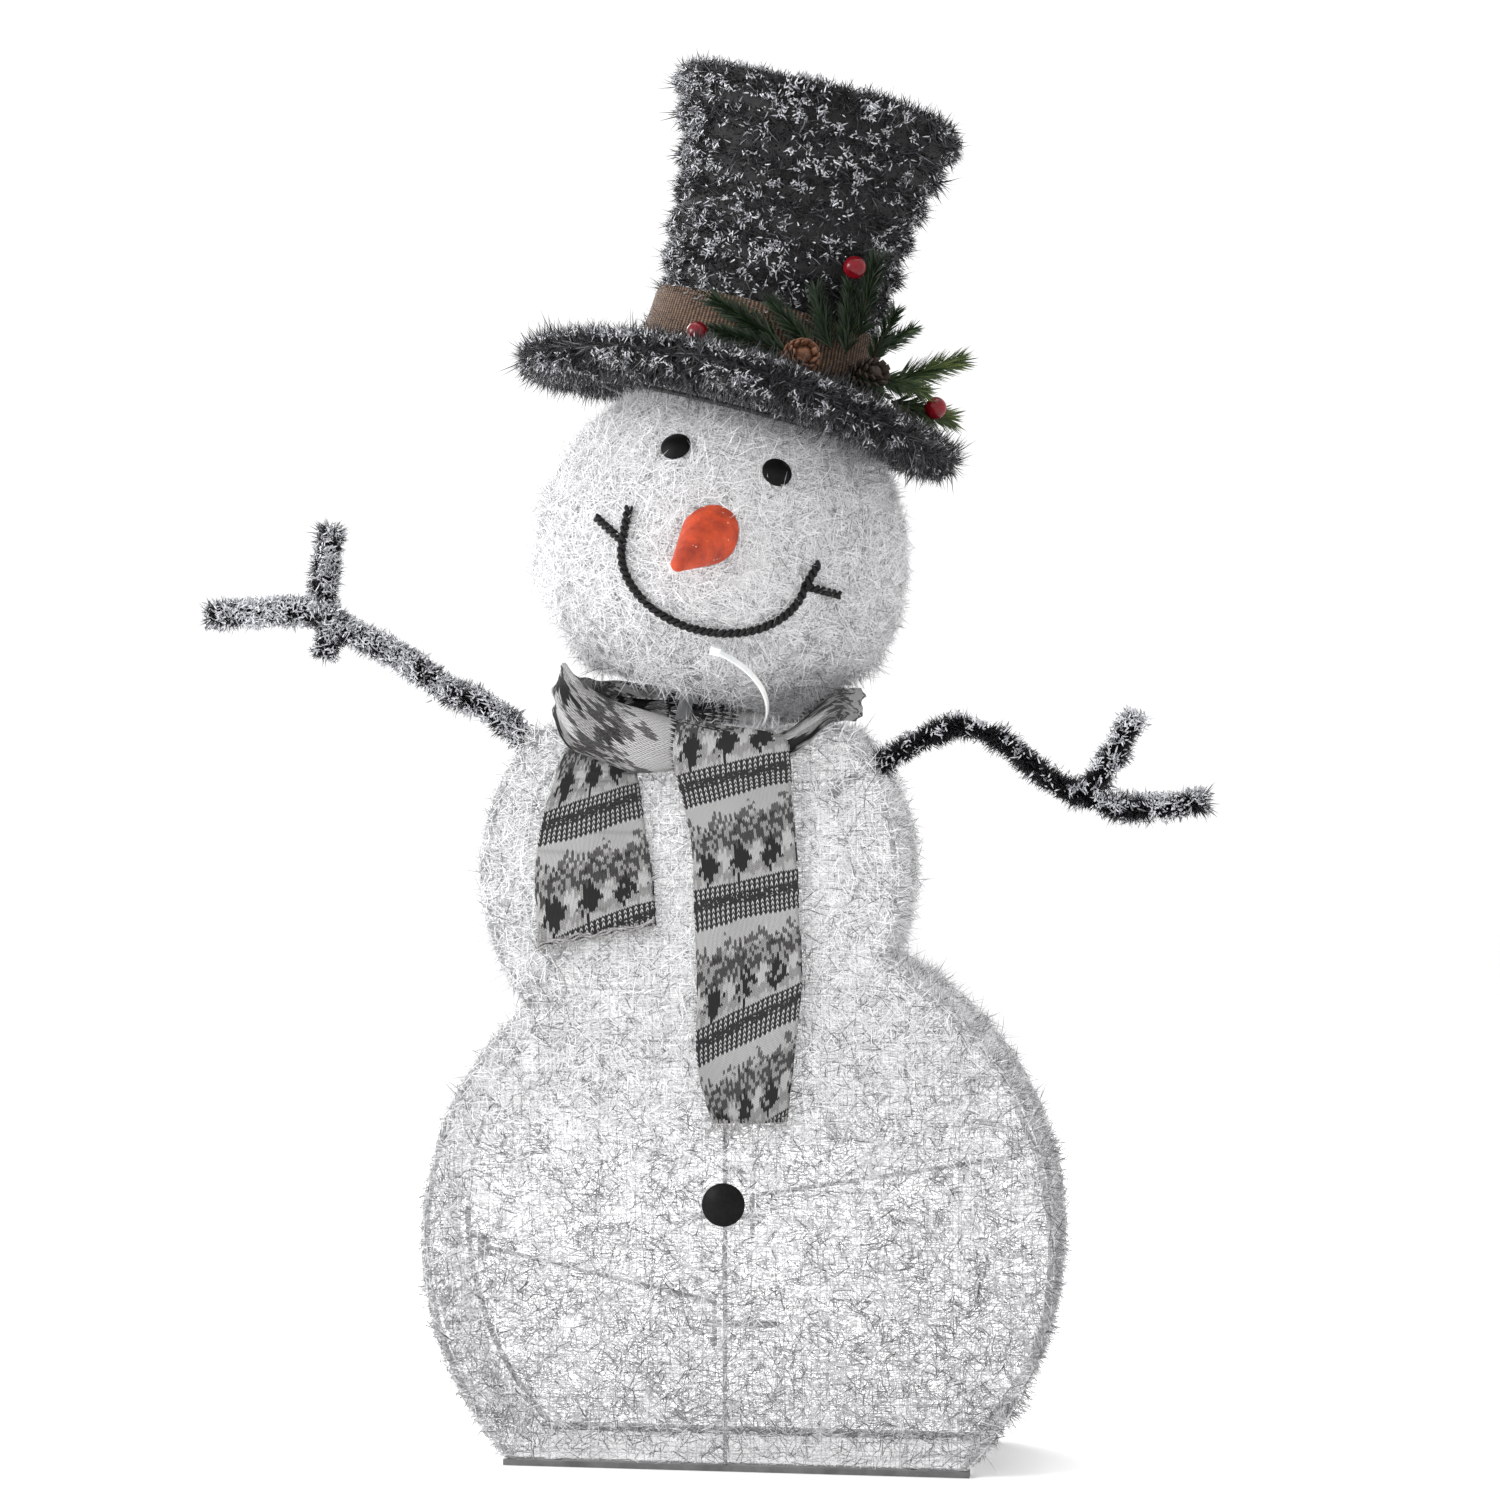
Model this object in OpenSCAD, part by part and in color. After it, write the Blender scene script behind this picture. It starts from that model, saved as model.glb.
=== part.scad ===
// Knock-down wire-frame yard snowman: two flat wire panels skinned in fibre
// netting, a ball head on a leaning neck post, a tinsel top hat, garland arms
// and a knitted scarf. The panels fold together on two hinged spreaders.
// Origin: underside of the front base rail, at its middle. +Z up, +Y to the back.

/* [Body panels] */
// Distance between the front and the back panel
body_depth = 160; // [150:1:170]
// Radius of the lower circle of each panel
low_r = 263; // [255:1:270]
// Height of the lower circle's centre
low_z = 188; // [184:1:192]
// Radius of the upper circle of each panel
mid_r = 173; // [168:1:178]
// Sideways place of the upper circle's centre
mid_x = -39; // [-42:1:-36]
// Height of the upper circle's centre
mid_z = 497.5; // [494:0.5:500]
// Height of the flat top of each panel
top_z = 615; // [612:1:617]
// Radius of the panel wire
wire_r = 2.5; // [2:0.1:2.6]
// Sideways place of the centre post
post_x = -8.5; // [-9:0.5:-8]

/* [Base rails] */
// Length of each rail
rail_len = 392; // [388:1:410]
// Width of each rail
rail_w = 14; // [12:1:18]
// Thickness of each rail
rail_t = 5; // [4:0.5:5]
// Distance between the two peg holes of a rail
peg_pitch = 300; // [260:5:320]
// Diameter of a peg hole
peg_d = 6.5; // [5:0.5:8]

/* [Head] */
// Radius of the ball head
head_r = 160; // [158:0.5:160]
// Sideways lean of the head, in degrees
head_tilt = 14; // [13:0.5:15]
// Height of the ball's centre
head_z = 763; // [763:1:768]
// How far below its centre the ball is cut flat
head_cut = 115; // [113:1:116]

/* [Hat] */
// Outer radius of the brim
brim_r = 196; // [185:1:200]
// Thickness of the brim
brim_t = 24; // [20:1:24]
// Height of the hat's top above the ball's centre
hat_top = 406; // [400:1:410]

/* [Arms] */
// Radius of the garland on each arm
garland_r = 15; // [12:0.5:15]
// Angle of the right arm's socket above level, in degrees
arm_right_a = 30; // [28:1:32]
// Angle of the left arm's socket, from the right, in degrees
arm_left_a = 142; // [140:1:144]

/* [Scarf] */
// Thickness of the knitted cloth
knit_t = 6; // [4:0.5:6]

/* [Hidden] */
$fn = 64;

low = [0, low_z];
mid = [mid_x, mid_z];
head_at = [-24, body_depth / 2, head_z];
net_t = 1.5;
net_gap = 0.6;
skin_in = wire_r + net_gap + 0.2;
post_r = 2;
arm_y = 25;
rod_r = 3.2;
fold = 110;
weld = 1.1;

// Where the two circles of a panel cross, as angles on each circle
link = mid - low;
link_len = norm(link);
link_a = atan2(link[1], link[0]);
low_half = acos((link_len ^ 2 + low_r ^ 2 - mid_r ^ 2) / (2 * link_len * low_r));
mid_half = acos((link_len ^ 2 + mid_r ^ 2 - low_r ^ 2) / (2 * link_len * mid_r));
base_a = asin((rail_t - low_z) / low_r);
top_a = asin((top_z - mid_z) / mid_r);
top_half = mid_r * cos(top_a);

// A point on a circle of the panel, in the panel's own plane
function on(c, r, a) = [c[0] + r * cos(a), c[1] + r * sin(a)];
// The half-width of the lower circle at a height
function low_at(z) = sqrt(low_r ^ 2 - (z - low_z) ^ 2);
// A direction on the ball: turned a to the right of front, raised e
function way(a, e) = [sin(a) * cos(e), -cos(a) * cos(e), sin(e)];
// A smooth closed or open path through points p, n steps for each stretch
function spline(p, i, t, c) =
    let (m = len(p), q = function (k) c ? p[(k + m) % m] : p[max(0, min(m - 1, k))],
         a = q(i - 1), b = q(i), d = q(i + 1), e = q(i + 2))
    0.5 * (2 * b + (d - a) * t + (2 * a - 5 * b + 4 * d - e) * t ^ 2
        + (3 * b - a - 3 * d + e) * t ^ 3);
function smooth_path(p, n, c = false) = concat(
    [for (i = [0:len(p) - (c ? 1 : 2)], k = [0:n - 1]) spline(p, i, k / n, c)],
    c ? [] : [p[len(p) - 1]]);

// A straight round bar from a to b, with a ball at each end
module bar(a, b, r, balls = true) {
    v = b - a;
    translate(a) rotate([0, acos(v[2] / norm(v)), atan2(v[1], v[0])]) cylinder(r = r, h = norm(v));
    if (balls) { translate(a) sphere(r * weld); translate(b) sphere(r * weld); }
}
// Turns a flat drawing of x and z upright, from y back by t
module upright(y, t) { translate([0, y + t, 0]) rotate([90, 0, 0]) linear_extrude(t) children(); }
// Turns a solid drawn flat in x and z upright in the panel's plane
module panel_arc(c, r, a0, a1, wr) {
    translate([c[0], 0, c[1]]) rotate([90, 0, 0]) rotate([0, 0, a0])
        rotate_extrude(angle = a1 - a0, $fn = 180) translate([r, 0]) circle(wr, $fn = 32);
}
// Skins rings of points, joined in order; closed joins the last ring to the first
module skin(rings, closed = false) {
    n = len(rings[0]); m = len(rings);
    pts = [for (g = rings, q = g) q];
    sides = [for (i = [0:m - (closed ? 1 : 2)], k = [0:n - 1])
        let (j = (i + 1) % m, l = (k + 1) % n)
        [[i * n + k, i * n + l, j * n + l], [i * n + k, j * n + l, j * n + k]]];
    polyhedron(pts, concat([for (s = sides, f = s) f],
        closed ? [] : [[for (k = [n - 1:-1:0]) k], [for (k = [0:n - 1]) (m - 1) * n + k]]));
}
function unit(v) = v / norm(v);
// Sweeps a section along points p. Each section point is [across, along the side];
// across is ref made square to the path, or straight out from the middle of the ball.
function rings(p, section, ref) = [for (i = [0:len(p) - 1])
    let (t = unit(p[min(i + 1, len(p) - 1)] - p[max(i - 1, 0)]), o = is_undef(ref) ? p[i] : ref,
         n = unit(o - t * (t * o)), b = cross(n, t))
    [for (q = section) p[i] + n * q[0] + b * q[1]]];
function round_section(r, n) = [for (k = [0:n - 1]) r * [cos(360 * k / n), sin(360 * k / n)]];
module sweep(p, section, ref) { skin(rings(p, section, ref)); }
// Places its children in the ball head's own leaning frame
module on_head() { translate(head_at) rotate([0, head_tilt, 0]) children(); }
// Places its children on the hat's axis
module on_hat() { on_head() translate([-10, 0, 0]) children(); }

// The panel's filled outline, grown by g and cut level at lo
module panel_shape(g, lo) {
    intersection() {
        union() {
            translate(low) circle(low_r + g, $fn = 180);
            translate(mid) circle(mid_r + g, $fn = 180);
        }
        translate([-400, lo]) square([800, top_z + g - lo]);
    }
}
// A flat steel rail with two peg holes
module rail() {
    difference() {
        translate([-rail_len / 2, -rail_w / 2, 0]) cube([rail_len, rail_w, rail_t]);
        for (s = [-1, 1]) translate([s * peg_pitch / 2, 0, -1]) cylinder(d = peg_d, h = rail_t + 2);
    }
}
// One panel's outline wire, standing on its rail
module outline() {
    difference() {
        union() {
            panel_arc(low, low_r, base_a - 2, link_a - low_half, wire_r);
            panel_arc(low, low_r, link_a + low_half, 182 - base_a, wire_r);
            panel_arc(mid, mid_r, link_a + 180 + mid_half - 360, top_a, wire_r);
            panel_arc(mid, mid_r, 180 - top_a, link_a + 180 - mid_half, wire_r);
            bar([mid_x - top_half, 0, top_z], [mid_x + top_half, 0, top_z], wire_r, $fn = 32);
        }
        translate([-300, -20, -20]) cube([600, 40, 20 + rail_t]);
    }
}

module front_rail() { color("whitesmoke") rail(); }
module back_rail() { color("whitesmoke") translate([0, body_depth, 0]) rail(); }
module front_outline() { color("whitesmoke") outline(); }
module centre_post() {
    color("whitesmoke") translate([post_x, 0, rail_t])
        cylinder(r = post_r, h = top_z - wire_r - rail_t, $fn = 32);
}

// Spreaders: pin on the back panel, height of the rod at the pin, inner end, leg
reach = 230;
pin_inset = 12.5;
loop_r = 7;
leg_y = post_r + post_r + loop_r - 0.1;
spread_z = [250, 160];
spread_drop = 22;
leg_len = 35;
function pin_x(s, z) = s * (low_at(z) - pin_inset);
arm_in = sqrt(reach ^ 2 + (body_depth - leg_y) ^ 2);
folded_in = sqrt(arm_in ^ 2 - (body_depth - fold - leg_y) ^ 2);

module pivot(s, z) {
    x = pin_x(s, z);
    translate([x, 0, z - 11]) cylinder(r = wire_r, h = 22);
    for (k = [-9, 9]) bar([x, 0, z + k], [s * low_at(z + k), 0, z + k], 2, false, $fn = 32);
}
module back_outline() {
    color("whitesmoke") translate([0, body_depth, 0]) {
        outline();
        pivot(1, spread_z[0]);
        pivot(-1, spread_z[1]);
    }
}
module spreader(s, z) {
    x = pin_x(s, z); xi = x - s * reach;
    difference() {
        union() {
            translate([x, body_depth, z - 6.6]) cylinder(r = 5, h = 13.2);
            bar([x, body_depth, z], [xi, leg_y, z - spread_drop], 2, $fn = 32);
            bar([xi, leg_y, z - spread_drop], [xi, leg_y, z - spread_drop - leg_len], 2, $fn = 32);
        }
        translate([x, body_depth, z - 20]) cylinder(r = wire_r + 0.06, h = 40);
    }
}
module spreader_right() { color("whitesmoke") spreader(1, spread_z[0]); }
module spreader_left() { color("whitesmoke") spreader(-1, spread_z[1]); }

// Long loops behind the centre post that keep the spreaders' legs in place
module guide(s, z) {
    x0 = pin_x(s, z) - s * reach; x1 = pin_x(s, z) - s * folded_in;
    lo = min(x0, x1) - 3; hi = max(x0, x1) + 3;
    translate([0, leg_y, z - spread_drop - leg_len / 2]) {
        for (k = [-1, 1]) bar([lo, k * loop_r, 0], [hi, k * loop_r, 0], 2, false, $fn = 32);
        for (e = [[lo, 90], [hi, -90]]) translate([e[0], 0, 0]) rotate([0, 0, e[1]])
            rotate_extrude(angle = 180, $fn = 64) translate([loop_r, 0]) circle(2, $fn = 32);
    }
}
module guide_loops() {
    color("whitesmoke") { guide(1, spread_z[0]); guide(-1, spread_z[1]); }
}

// Arm sockets: a tube on the panel wire, bored for the arm's rod
module on_socket(a) {
    p = on(mid, mid_r, a);
    translate([p[0], arm_y, p[1]]) rotate([0, 90 - a, 0]) children();
}
module socket(a) {
    p = on(mid, mid_r, a);
    difference() {
        union() {
            on_socket(a) translate([0, 0, -40]) cylinder(r = 5.5, h = 41);
            bar([p[0], wire_r - 0.1, p[1]], [p[0], arm_y - 5, p[1]], 2, false, $fn = 32);
        }
        on_socket(a) translate([0, 0, -50]) cylinder(r = rod_r + 0.06, h = 60);
    }
}
module socket_right() { color("gainsboro") socket(arm_right_a); }
module socket_left() { color("gainsboro") socket(arm_left_a); }

// Neck: an upright and an arm off the front panel's top bar, and the leaning post
neck_z = top_z + 9.5;
neck_r = 6;
neck_down = (head_z - neck_z) / cos(head_tilt);
neck_x = head_at[0] - neck_down * sin(head_tilt);
module neck_post() {
    color("gainsboro") {
        bar([neck_x, 0, top_z + wire_r - 0.1], [neck_x, 0, neck_z], wire_r, false, $fn = 32);
        bar([neck_x, 0, neck_z], [neck_x, head_at[1], neck_z], wire_r, $fn = 32);
        on_head() {
            translate([0, 0, -neck_down]) cylinder(r = neck_r, h = neck_down - 66);
            translate([0, 0, -head_cut - 9]) cylinder(r = 10, h = 9.7);
        }
    }
}

// Netting skins
module front_net() {
    color("white") upright(-wire_r - net_gap - net_t, net_t) panel_shape(skin_in - 0.1, rail_t + 1);
}
module back_net() {
    color("white") difference() {
        upright(body_depth + wire_r + net_gap, net_t) panel_shape(skin_in - 0.1, rail_t + 1);
        for (k = [0, 1]) translate([pin_x(1 - 2 * k, spread_z[k]), body_depth, spread_z[k] - 7.5])
            cylinder(r = 5.7, h = 15);
    }
}
module side_net() {
    y0 = -wire_r - net_gap - net_t;
    color("white") difference() {
        upright(y0, body_depth - 2 * y0) difference() {
            panel_shape(skin_in + net_t, rail_t + 1);
            panel_shape(skin_in, -10);
        }
        for (a = [arm_right_a, arm_left_a]) on_socket(a) translate([0, 0, -20]) cylinder(r = 9, h = 40);
        translate([neck_x, 0, top_z]) cylinder(r = 6, h = 10);
    }
}
module belly_button() {
    cap = 7; r = 18; ball = (r ^ 2 + cap ^ 2) / (2 * cap);
    color("black") translate([-9, -5, 222]) rotate([90, 0, 0]) {
        cylinder(r = r, h = 2.5);
        intersection() {
            translate([0, 0, 2.4 + cap - ball]) sphere(ball, $fn = 96);
            translate([0, 0, 2.4]) cylinder(r = r, h = 20);
        }
    }
}

// Scarf: a soft band round the neck and two hanging tails.
// Each point of the band: x, y, z, how far it leans outwards in degrees, half its width
collar_at = [[-153, 70, 645, -20, 20], [-153, 25, 650, -14, 21], [-147, -6, 650, -9, 24],
    [-131, -23, 631, -4, 31], [-86, -28, 611, 4, 27], [-43, -30, 605, 4, 22], [-5, -30, 600, 4, 18],
    [25, -28, 598, 4, 15], [48, -25, 606, 4, 12], [66, -20, 620, 6, 12], [82, -4, 636, 8, 12],
    [95, 60, 640, 8, 14], [88, 115, 640, 8, 14], [60, 168, 641, 8, 16], [0, 198, 641, 4, 18],
    [-72, 198, 641, 0, 18], [-130, 160, 644, -10, 18]];
function band_ring(p, q) =
    let (run = [q[0] - p[0], q[1] - p[1]], out = [run[1], -run[0], 0] / norm(run),
         up = [out[0] * sin(p[3]), out[1] * sin(p[3]), cos(p[3])],
         side = [out[0] * cos(p[3]), out[1] * cos(p[3]), -sin(p[3])])
    [for (k = [0:11]) [p[0], p[1], p[2]] + side * knit_t * cos(30 * k) + up * p[4] * sin(30 * k)];
module scarf_collar() {
    p = smooth_path(collar_at, 4, true);
    color("gray") skin([for (i = [0:len(p) - 1]) band_ring(p[i], p[(i + 1) % len(p)])], true);
}
module tail(outline) { color("gray") upright(-14, knit_t) polygon(outline); }
module scarf_short_tail() {
    tail([[-150, 600], [-164, 545], [-169, 498], [-165, 434], [-64, 452], [-68, 500],
        [-77, 545], [-86, 600]]);
}
module scarf_long_tail() {
    tail([[-46, 602], [-42, 560], [-33, 480], [-30, 400], [-30, 340], [-18, 288], [46, 294],
        [52, 350], [58, 410], [55, 470], [50, 560], [47, 604]]);
}
// Cable tie: lock block and a thin strap bent in an arc that stands off the chin
tie_from = way(14.8, -26.5) * 168;
tie_by = way(31, -32.5) * 172;
tie_to = way(43, -46) * 172;
module cable_tie() {
    a = tie_by - tie_from; b = tie_to - tie_from; n = cross(a, b);
    centre = tie_from + (cross(n, a) * (b * b) - cross(n, b) * (a * a)) / (2 * n * n);
    x = unit(tie_from - centre); z = unit(n); y = cross(z, x);
    sweep_a = atan2((tie_to - centre) * y, (tie_to - centre) * x);
    color("white") on_head() {
        multmatrix([[x[0], y[0], z[0], centre[0]], [x[1], y[1], z[1], centre[1]],
            [x[2], y[2], z[2], centre[2]]])
            rotate_extrude(angle = sweep_a, $fn = 180) translate([norm(tie_from - centre) - 0.8, -2.5])
            square([1.6, 5]);
        rotate([0, 0, 14]) rotate([26.5, 0, 0]) translate([-4, -169, -3.5]) cube([8, 6, 7]);
    }
}

// Head: wire cage with a sleeve on the neck post, netting, and the face. Below its
// middle the ball is drawn in to a cone, which ends flat at the cut.
base_r = 88;
cage_r = head_r - 4.5;
ring_u = -head_cut + 3;
ring_r = base_r - 3.5;
module drawn_in(r, cut) {
    edge = base_r - head_r + r + head_cut - cut;
    intersection() {
        circle(r, $fn = 180);
        polygon([[0, -cut], [edge, -cut], [edge + 150, 150 - cut], [200, 200], [0, 200]]);
    }
}
module head_frame() {
    color("whitesmoke") on_head() translate([0, 0, ring_u]) difference() {
        union() {
            rotate_extrude($fn = 180) translate([ring_r, 0]) circle(2.2, $fn = 32);
            for (a = [0:90:270]) rotate([0, 0, a]) bar([7, 0, 0], [ring_r, 0, 0], 1.8, false);
            translate([0, 0, -2]) cylinder(r = 9, h = 44);
        }
        translate([0, 0, -3]) cylinder(r = neck_r + 0.06, h = 50);
    }
}
// Two wire hoops over the ring, the second passing just inside the first
module head_hoops() {
    color("whitesmoke") on_head() for (h = [[45, 0], [-45, 4.7]]) {
        d = [cos(h[0]), sin(h[0]), 0]; r = cage_r - h[1]; low_x = ring_r + 4; low_u = ring_u + 5;
        arc = [for (a = [-18:6:198]) [r * cos(a), r * sin(a)]];
        flat = concat([[low_x, low_u], [(low_x + arc[0][0]) / 2, (low_u + arc[0][1]) / 2]], arc,
            [[-(low_x + arc[0][0]) / 2, (low_u + arc[0][1]) / 2], [-low_x, low_u]]);
        sweep([for (q = flat) d * q[0] + [0, 0, q[1]]], round_section(2.2, 8), [-d[1], d[0], 0]);
    }
}
module head_net() {
    color("white") on_head() rotate_extrude($fn = 180) difference() {
        drawn_in(head_r, head_cut);
        drawn_in(head_r - 1.8, head_cut + 2);
    }
}
module head_base_net() {
    color("white") on_head() translate([0, 0, -head_cut - 1.8]) difference() {
        cylinder(r = base_r, h = 1.5, $fn = 180);
        translate([0, 0, -1]) cylinder(r = 12, h = 4);
    }
}
module eye(a, e) {
    cap = 4; r = 12.5; ball = (r ^ 2 + cap ^ 2) / (2 * cap);
    color("black") on_head() rotate([0, 0, a]) rotate([90 - e, 0, 0])
        translate([0, 0, head_r + 0.3]) {
            cylinder(r = r, h = 1.5);
            intersection() {
                translate([0, 0, 1.4 + cap - ball]) sphere(ball, $fn = 96);
                translate([0, 0, 1.4]) cylinder(r = r, h = 12);
            }
        }
}
module eye_left() { eye(-15.8, 30); }
module eye_right() { eye(20.2, 29.5); }
nose_base = way(3.6, 4.9) * (head_r - 1);
nose_tip = [0.5, -222, -16.6];
module nose() {
    v = nose_tip - nose_base;
    color("darkorange") on_head() difference() {
        translate(nose_base) rotate([0, acos(v[2] / norm(v)), atan2(v[1], v[0])]) {
            translate([0, 0, -22]) cylinder(r1 = 23.5, r2 = 23.5, h = 22.1);
            cylinder(r1 = 23.5, r2 = 6, h = norm(v) - 6);
            translate([0, 0, norm(v) - 7]) sphere(6.4);
        }
        sphere(head_r + 0.3, $fn = 180);
    }
}
// The smile: half-width and depth in degrees about the ball, and its forked ends
smile_a = 28;
smile_at = 7;
smile_low = -22;
smile_rise = 20;
module mouth() {
    rope = head_r + 4;
    smile = [for (t = [-90:10:90])
        way(smile_at + smile_a * sin(t), smile_low + smile_rise * (1 - cos(t))) * rope];
    ends = [[[-21, -2], [-32.5, 3]], [[-21, -2], [-22, 8]], [[35, -2], [37.5, 5.5]], [[35, -2], [47.5, -2]]];
    color("black") on_head() {
        sweep(smile, round_section(3.2, 10));
        for (e = ends) sweep([for (t = [0, 0.5, 1]) way(e[0][0] + (e[1][0] - e[0][0]) * t,
            e[0][1] + (e[1][1] - e[0][1]) * t) * rope], round_section(3.2, 10));
    }
}

// Hat: wire under the brim, tinsel brim and crown, cloth band and its trimmings
brim_u = 140;
brim_x = -6;
brim_wave = 15;
// The brim's edge rises at the front and back and droops at the sides
brim_in = 112;
function droop(a, r) = -brim_wave * cos(2 * a) * (r - brim_in) / (brim_r - brim_in);
module hat_wire() {
    u = brim_u - brim_t / 2 - 4; r = brim_in + 10; tip = brim_r - 20;
    color("black") on_hat() translate([brim_x, 0, u]) {
        rotate_extrude($fn = 180) translate([r, 0]) circle(2, $fn = 32);
        for (a = [0:45:315]) rotate([0, 0, a]) bar([r, 0, 0], [tip, 0, droop(a, tip)], 1.8, false);
    }
}
module hat_brim() {
    half = (brim_r - brim_in - brim_t) / 2;
    section = concat(
        [for (k = [-3:3]) [half + brim_t / 2 * cos(30 * k), brim_t / 2 * sin(30 * k)]],
        [for (k = [3:9]) [-half + brim_t / 2 * cos(30 * k), brim_t / 2 * sin(30 * k)]]);
    between = (brim_in + brim_r) / 2;
    color("dimgray") on_hat() translate([brim_x, 0, brim_u]) skin([for (a = [0:6:354])
        let (lean = atan(droop(a, brim_r) / (brim_r - brim_in)), c = cos(lean), t = sin(lean))
        [for (q = section) let (r = between + q[0] * c - q[1] * t)
            [r * cos(a), r * sin(a), droop(a, between) + q[0] * t + q[1] * c]]], true);
}
// Half-widths of the crown at heights above the ball's centre
crown = [[100, 140], [100, 170], [96, 215], [103, 270], [105, 318], [114, 353], [129, hat_top]];
module hat_crown() {
    wall = 10;
    color("dimgray") on_hat() rotate_extrude($fn = 180) polygon(concat(crown, [[0, hat_top],
        [0, hat_top - wall]], [for (i = [len(crown) - 1:-1:0])
        [crown[i][0] - wall, i == len(crown) - 1 ? hat_top - wall : crown[i][1]]]));
}
module hat_band() {
    color("tan") on_hat() rotate_extrude($fn = 180)
        polygon([[100.6, 171], [102.6, 171], [98.9, 214], [96.9, 214]]);
}
sprigs = [[[30, -105, 186], [-28, -108, 206]], [[88, -76, 206], [88, -72, 270]],
    [[124, -40, 182], [169, -25, 211]], [[108, -56, 204], [126, -38, 226]],
    [[124, -34, 164], [172, -12, 163]]];
module pine_sprigs() {
    color("darkgreen") on_hat() for (s = sprigs) bar(s[0], s[1], 5, false, $fn = 32);
}
module pine_cone(at, lean) {
    on_hat() translate(at) rotate(lean) rotate_extrude()
        polygon([for (t = [-90:15:90]) [16.5 * cos(t) * (1 - 0.12 * sin(t)), 19 * sin(t)]]);
}
module cone_light() { color("sienna") pine_cone([52, -115, 176], [75, 0, 20]); }
module cone_dark() { color("saddlebrown") pine_cone([103, -69, 176], [60, 0, 50]); }
module berries() {
    color("firebrick") on_hat()
        for (p = [[74, -88, 261], [-38, -108, 177], [162, -38, 167]]) translate(p) sphere(9.5);
}

// Arms: a rod in the socket that goes on as a bent wire, and the garland round it
right_at = [[163, 614], [188, 620], [221, 609], [254, 581], [287, 563], [320, 553], [352, 553], [386, 558]];
right_twig = [[287, 563], [303, 580], [318, 605], [331, 628]];
left_at = [[-219, 638], [-253, 652], [-288, 678], [-336, 701], [-375, 719], [-457, 716]];
left_twig = [[-350, 708], [-360, 729], [-353, 786]];
left_stub = [[-350, 708], [-358, 684]];
function lift(p) = [for (q = p) [q[0], arm_y, q[1]]];
function socket_pt(a, s) = let (p = on(mid, mid_r + s, a)) [p[0], arm_y, p[1]];
function longer(p, d) = concat(p, [p[len(p) - 1] + d * unit(p[len(p) - 1] - p[len(p) - 2])]);
module limb(p, r, n) { sweep(smooth_path(p, 3), round_section(r, n), [0, 1, 0]); }
module rod(a) { on_socket(a) translate([0, 0, -38]) cylinder(r = rod_r, h = 44); }
module core(a, main, twigs) {
    limb(concat([socket_pt(a, 6.2)], lift(main)), 2.4, 8);
    for (p = twigs) limb(lift(p), 2.4, 8);
}
module garland(a, main, twigs) {
    difference() {
        union() {
            limb(longer(concat([socket_pt(a, 10)], lift(main)), 7), garland_r, 12);
            for (p = twigs) limb(longer(lift(p), 7), garland_r, 12);
        }
        limb(concat([socket_pt(a, -5)], longer(lift(main), 1)), 3.3, 8);
        for (p = twigs) limb(longer(lift(p), 1), 3.3, 8);
    }
}
module arm_rod_right() { color("black") rod(arm_right_a); }
module arm_wire_right() { color("black") core(arm_right_a, right_at, [right_twig]); }
module garland_right() { color("dimgray") garland(arm_right_a, right_at, [right_twig]); }
module arm_rod_left() { color("black") rod(arm_left_a); }
module arm_wire_left() { color("black") core(arm_left_a, left_at, [left_twig, left_stub]); }
module garland_left() { color("dimgray") garland(arm_left_a, left_at, [left_twig, left_stub]); }

front_rail();
front_outline();
centre_post();
guide_loops();
socket_right();
socket_left();
neck_post();
front_net();
side_net();
belly_button();
scarf_collar();
scarf_short_tail();
scarf_long_tail();
cable_tie();
back_rail();
back_outline();
back_net();
spreader_right();
spreader_left();
head_frame();
head_hoops();
head_net();
head_base_net();
eye_left();
eye_right();
nose();
mouth();
hat_wire();
hat_brim();
hat_crown();
hat_band();
pine_sprigs();
cone_light();
cone_dark();
berries();
arm_rod_right();
arm_wire_right();
garland_right();
arm_rod_left();
arm_wire_left();
garland_left();
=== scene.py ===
import math

import bmesh
import bpy
import numpy as np
from mathutils import Matrix, Vector, noise


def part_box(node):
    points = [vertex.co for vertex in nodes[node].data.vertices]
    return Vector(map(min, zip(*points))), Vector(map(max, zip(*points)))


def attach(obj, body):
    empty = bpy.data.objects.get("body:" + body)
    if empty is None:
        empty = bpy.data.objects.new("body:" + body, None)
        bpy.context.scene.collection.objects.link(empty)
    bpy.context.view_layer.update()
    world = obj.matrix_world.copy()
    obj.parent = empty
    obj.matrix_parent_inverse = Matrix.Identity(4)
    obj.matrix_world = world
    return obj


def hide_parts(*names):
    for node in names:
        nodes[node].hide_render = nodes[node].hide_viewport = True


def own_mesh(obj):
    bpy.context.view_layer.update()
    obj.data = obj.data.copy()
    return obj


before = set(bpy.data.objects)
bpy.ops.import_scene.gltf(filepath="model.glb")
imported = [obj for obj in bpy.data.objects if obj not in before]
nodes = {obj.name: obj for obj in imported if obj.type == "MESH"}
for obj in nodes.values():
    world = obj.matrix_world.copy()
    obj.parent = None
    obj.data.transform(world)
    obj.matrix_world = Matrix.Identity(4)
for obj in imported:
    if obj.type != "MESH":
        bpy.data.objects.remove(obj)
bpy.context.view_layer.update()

# ---- Camera ------------------------------------------------------
# An 85 mm lens three metres off, level, looking a little to the left.
camera = bpy.data.objects.new("camera", bpy.data.cameras.new("camera"))
bpy.context.scene.collection.objects.link(camera)
camera.data.lens = 85
camera.data.sensor_width = 36
camera.location = (0.4237, -2.9253, 0.601)
camera.rotation_euler = (math.radians(90), 0, math.radians(8))
bpy.context.scene.camera = camera

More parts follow.
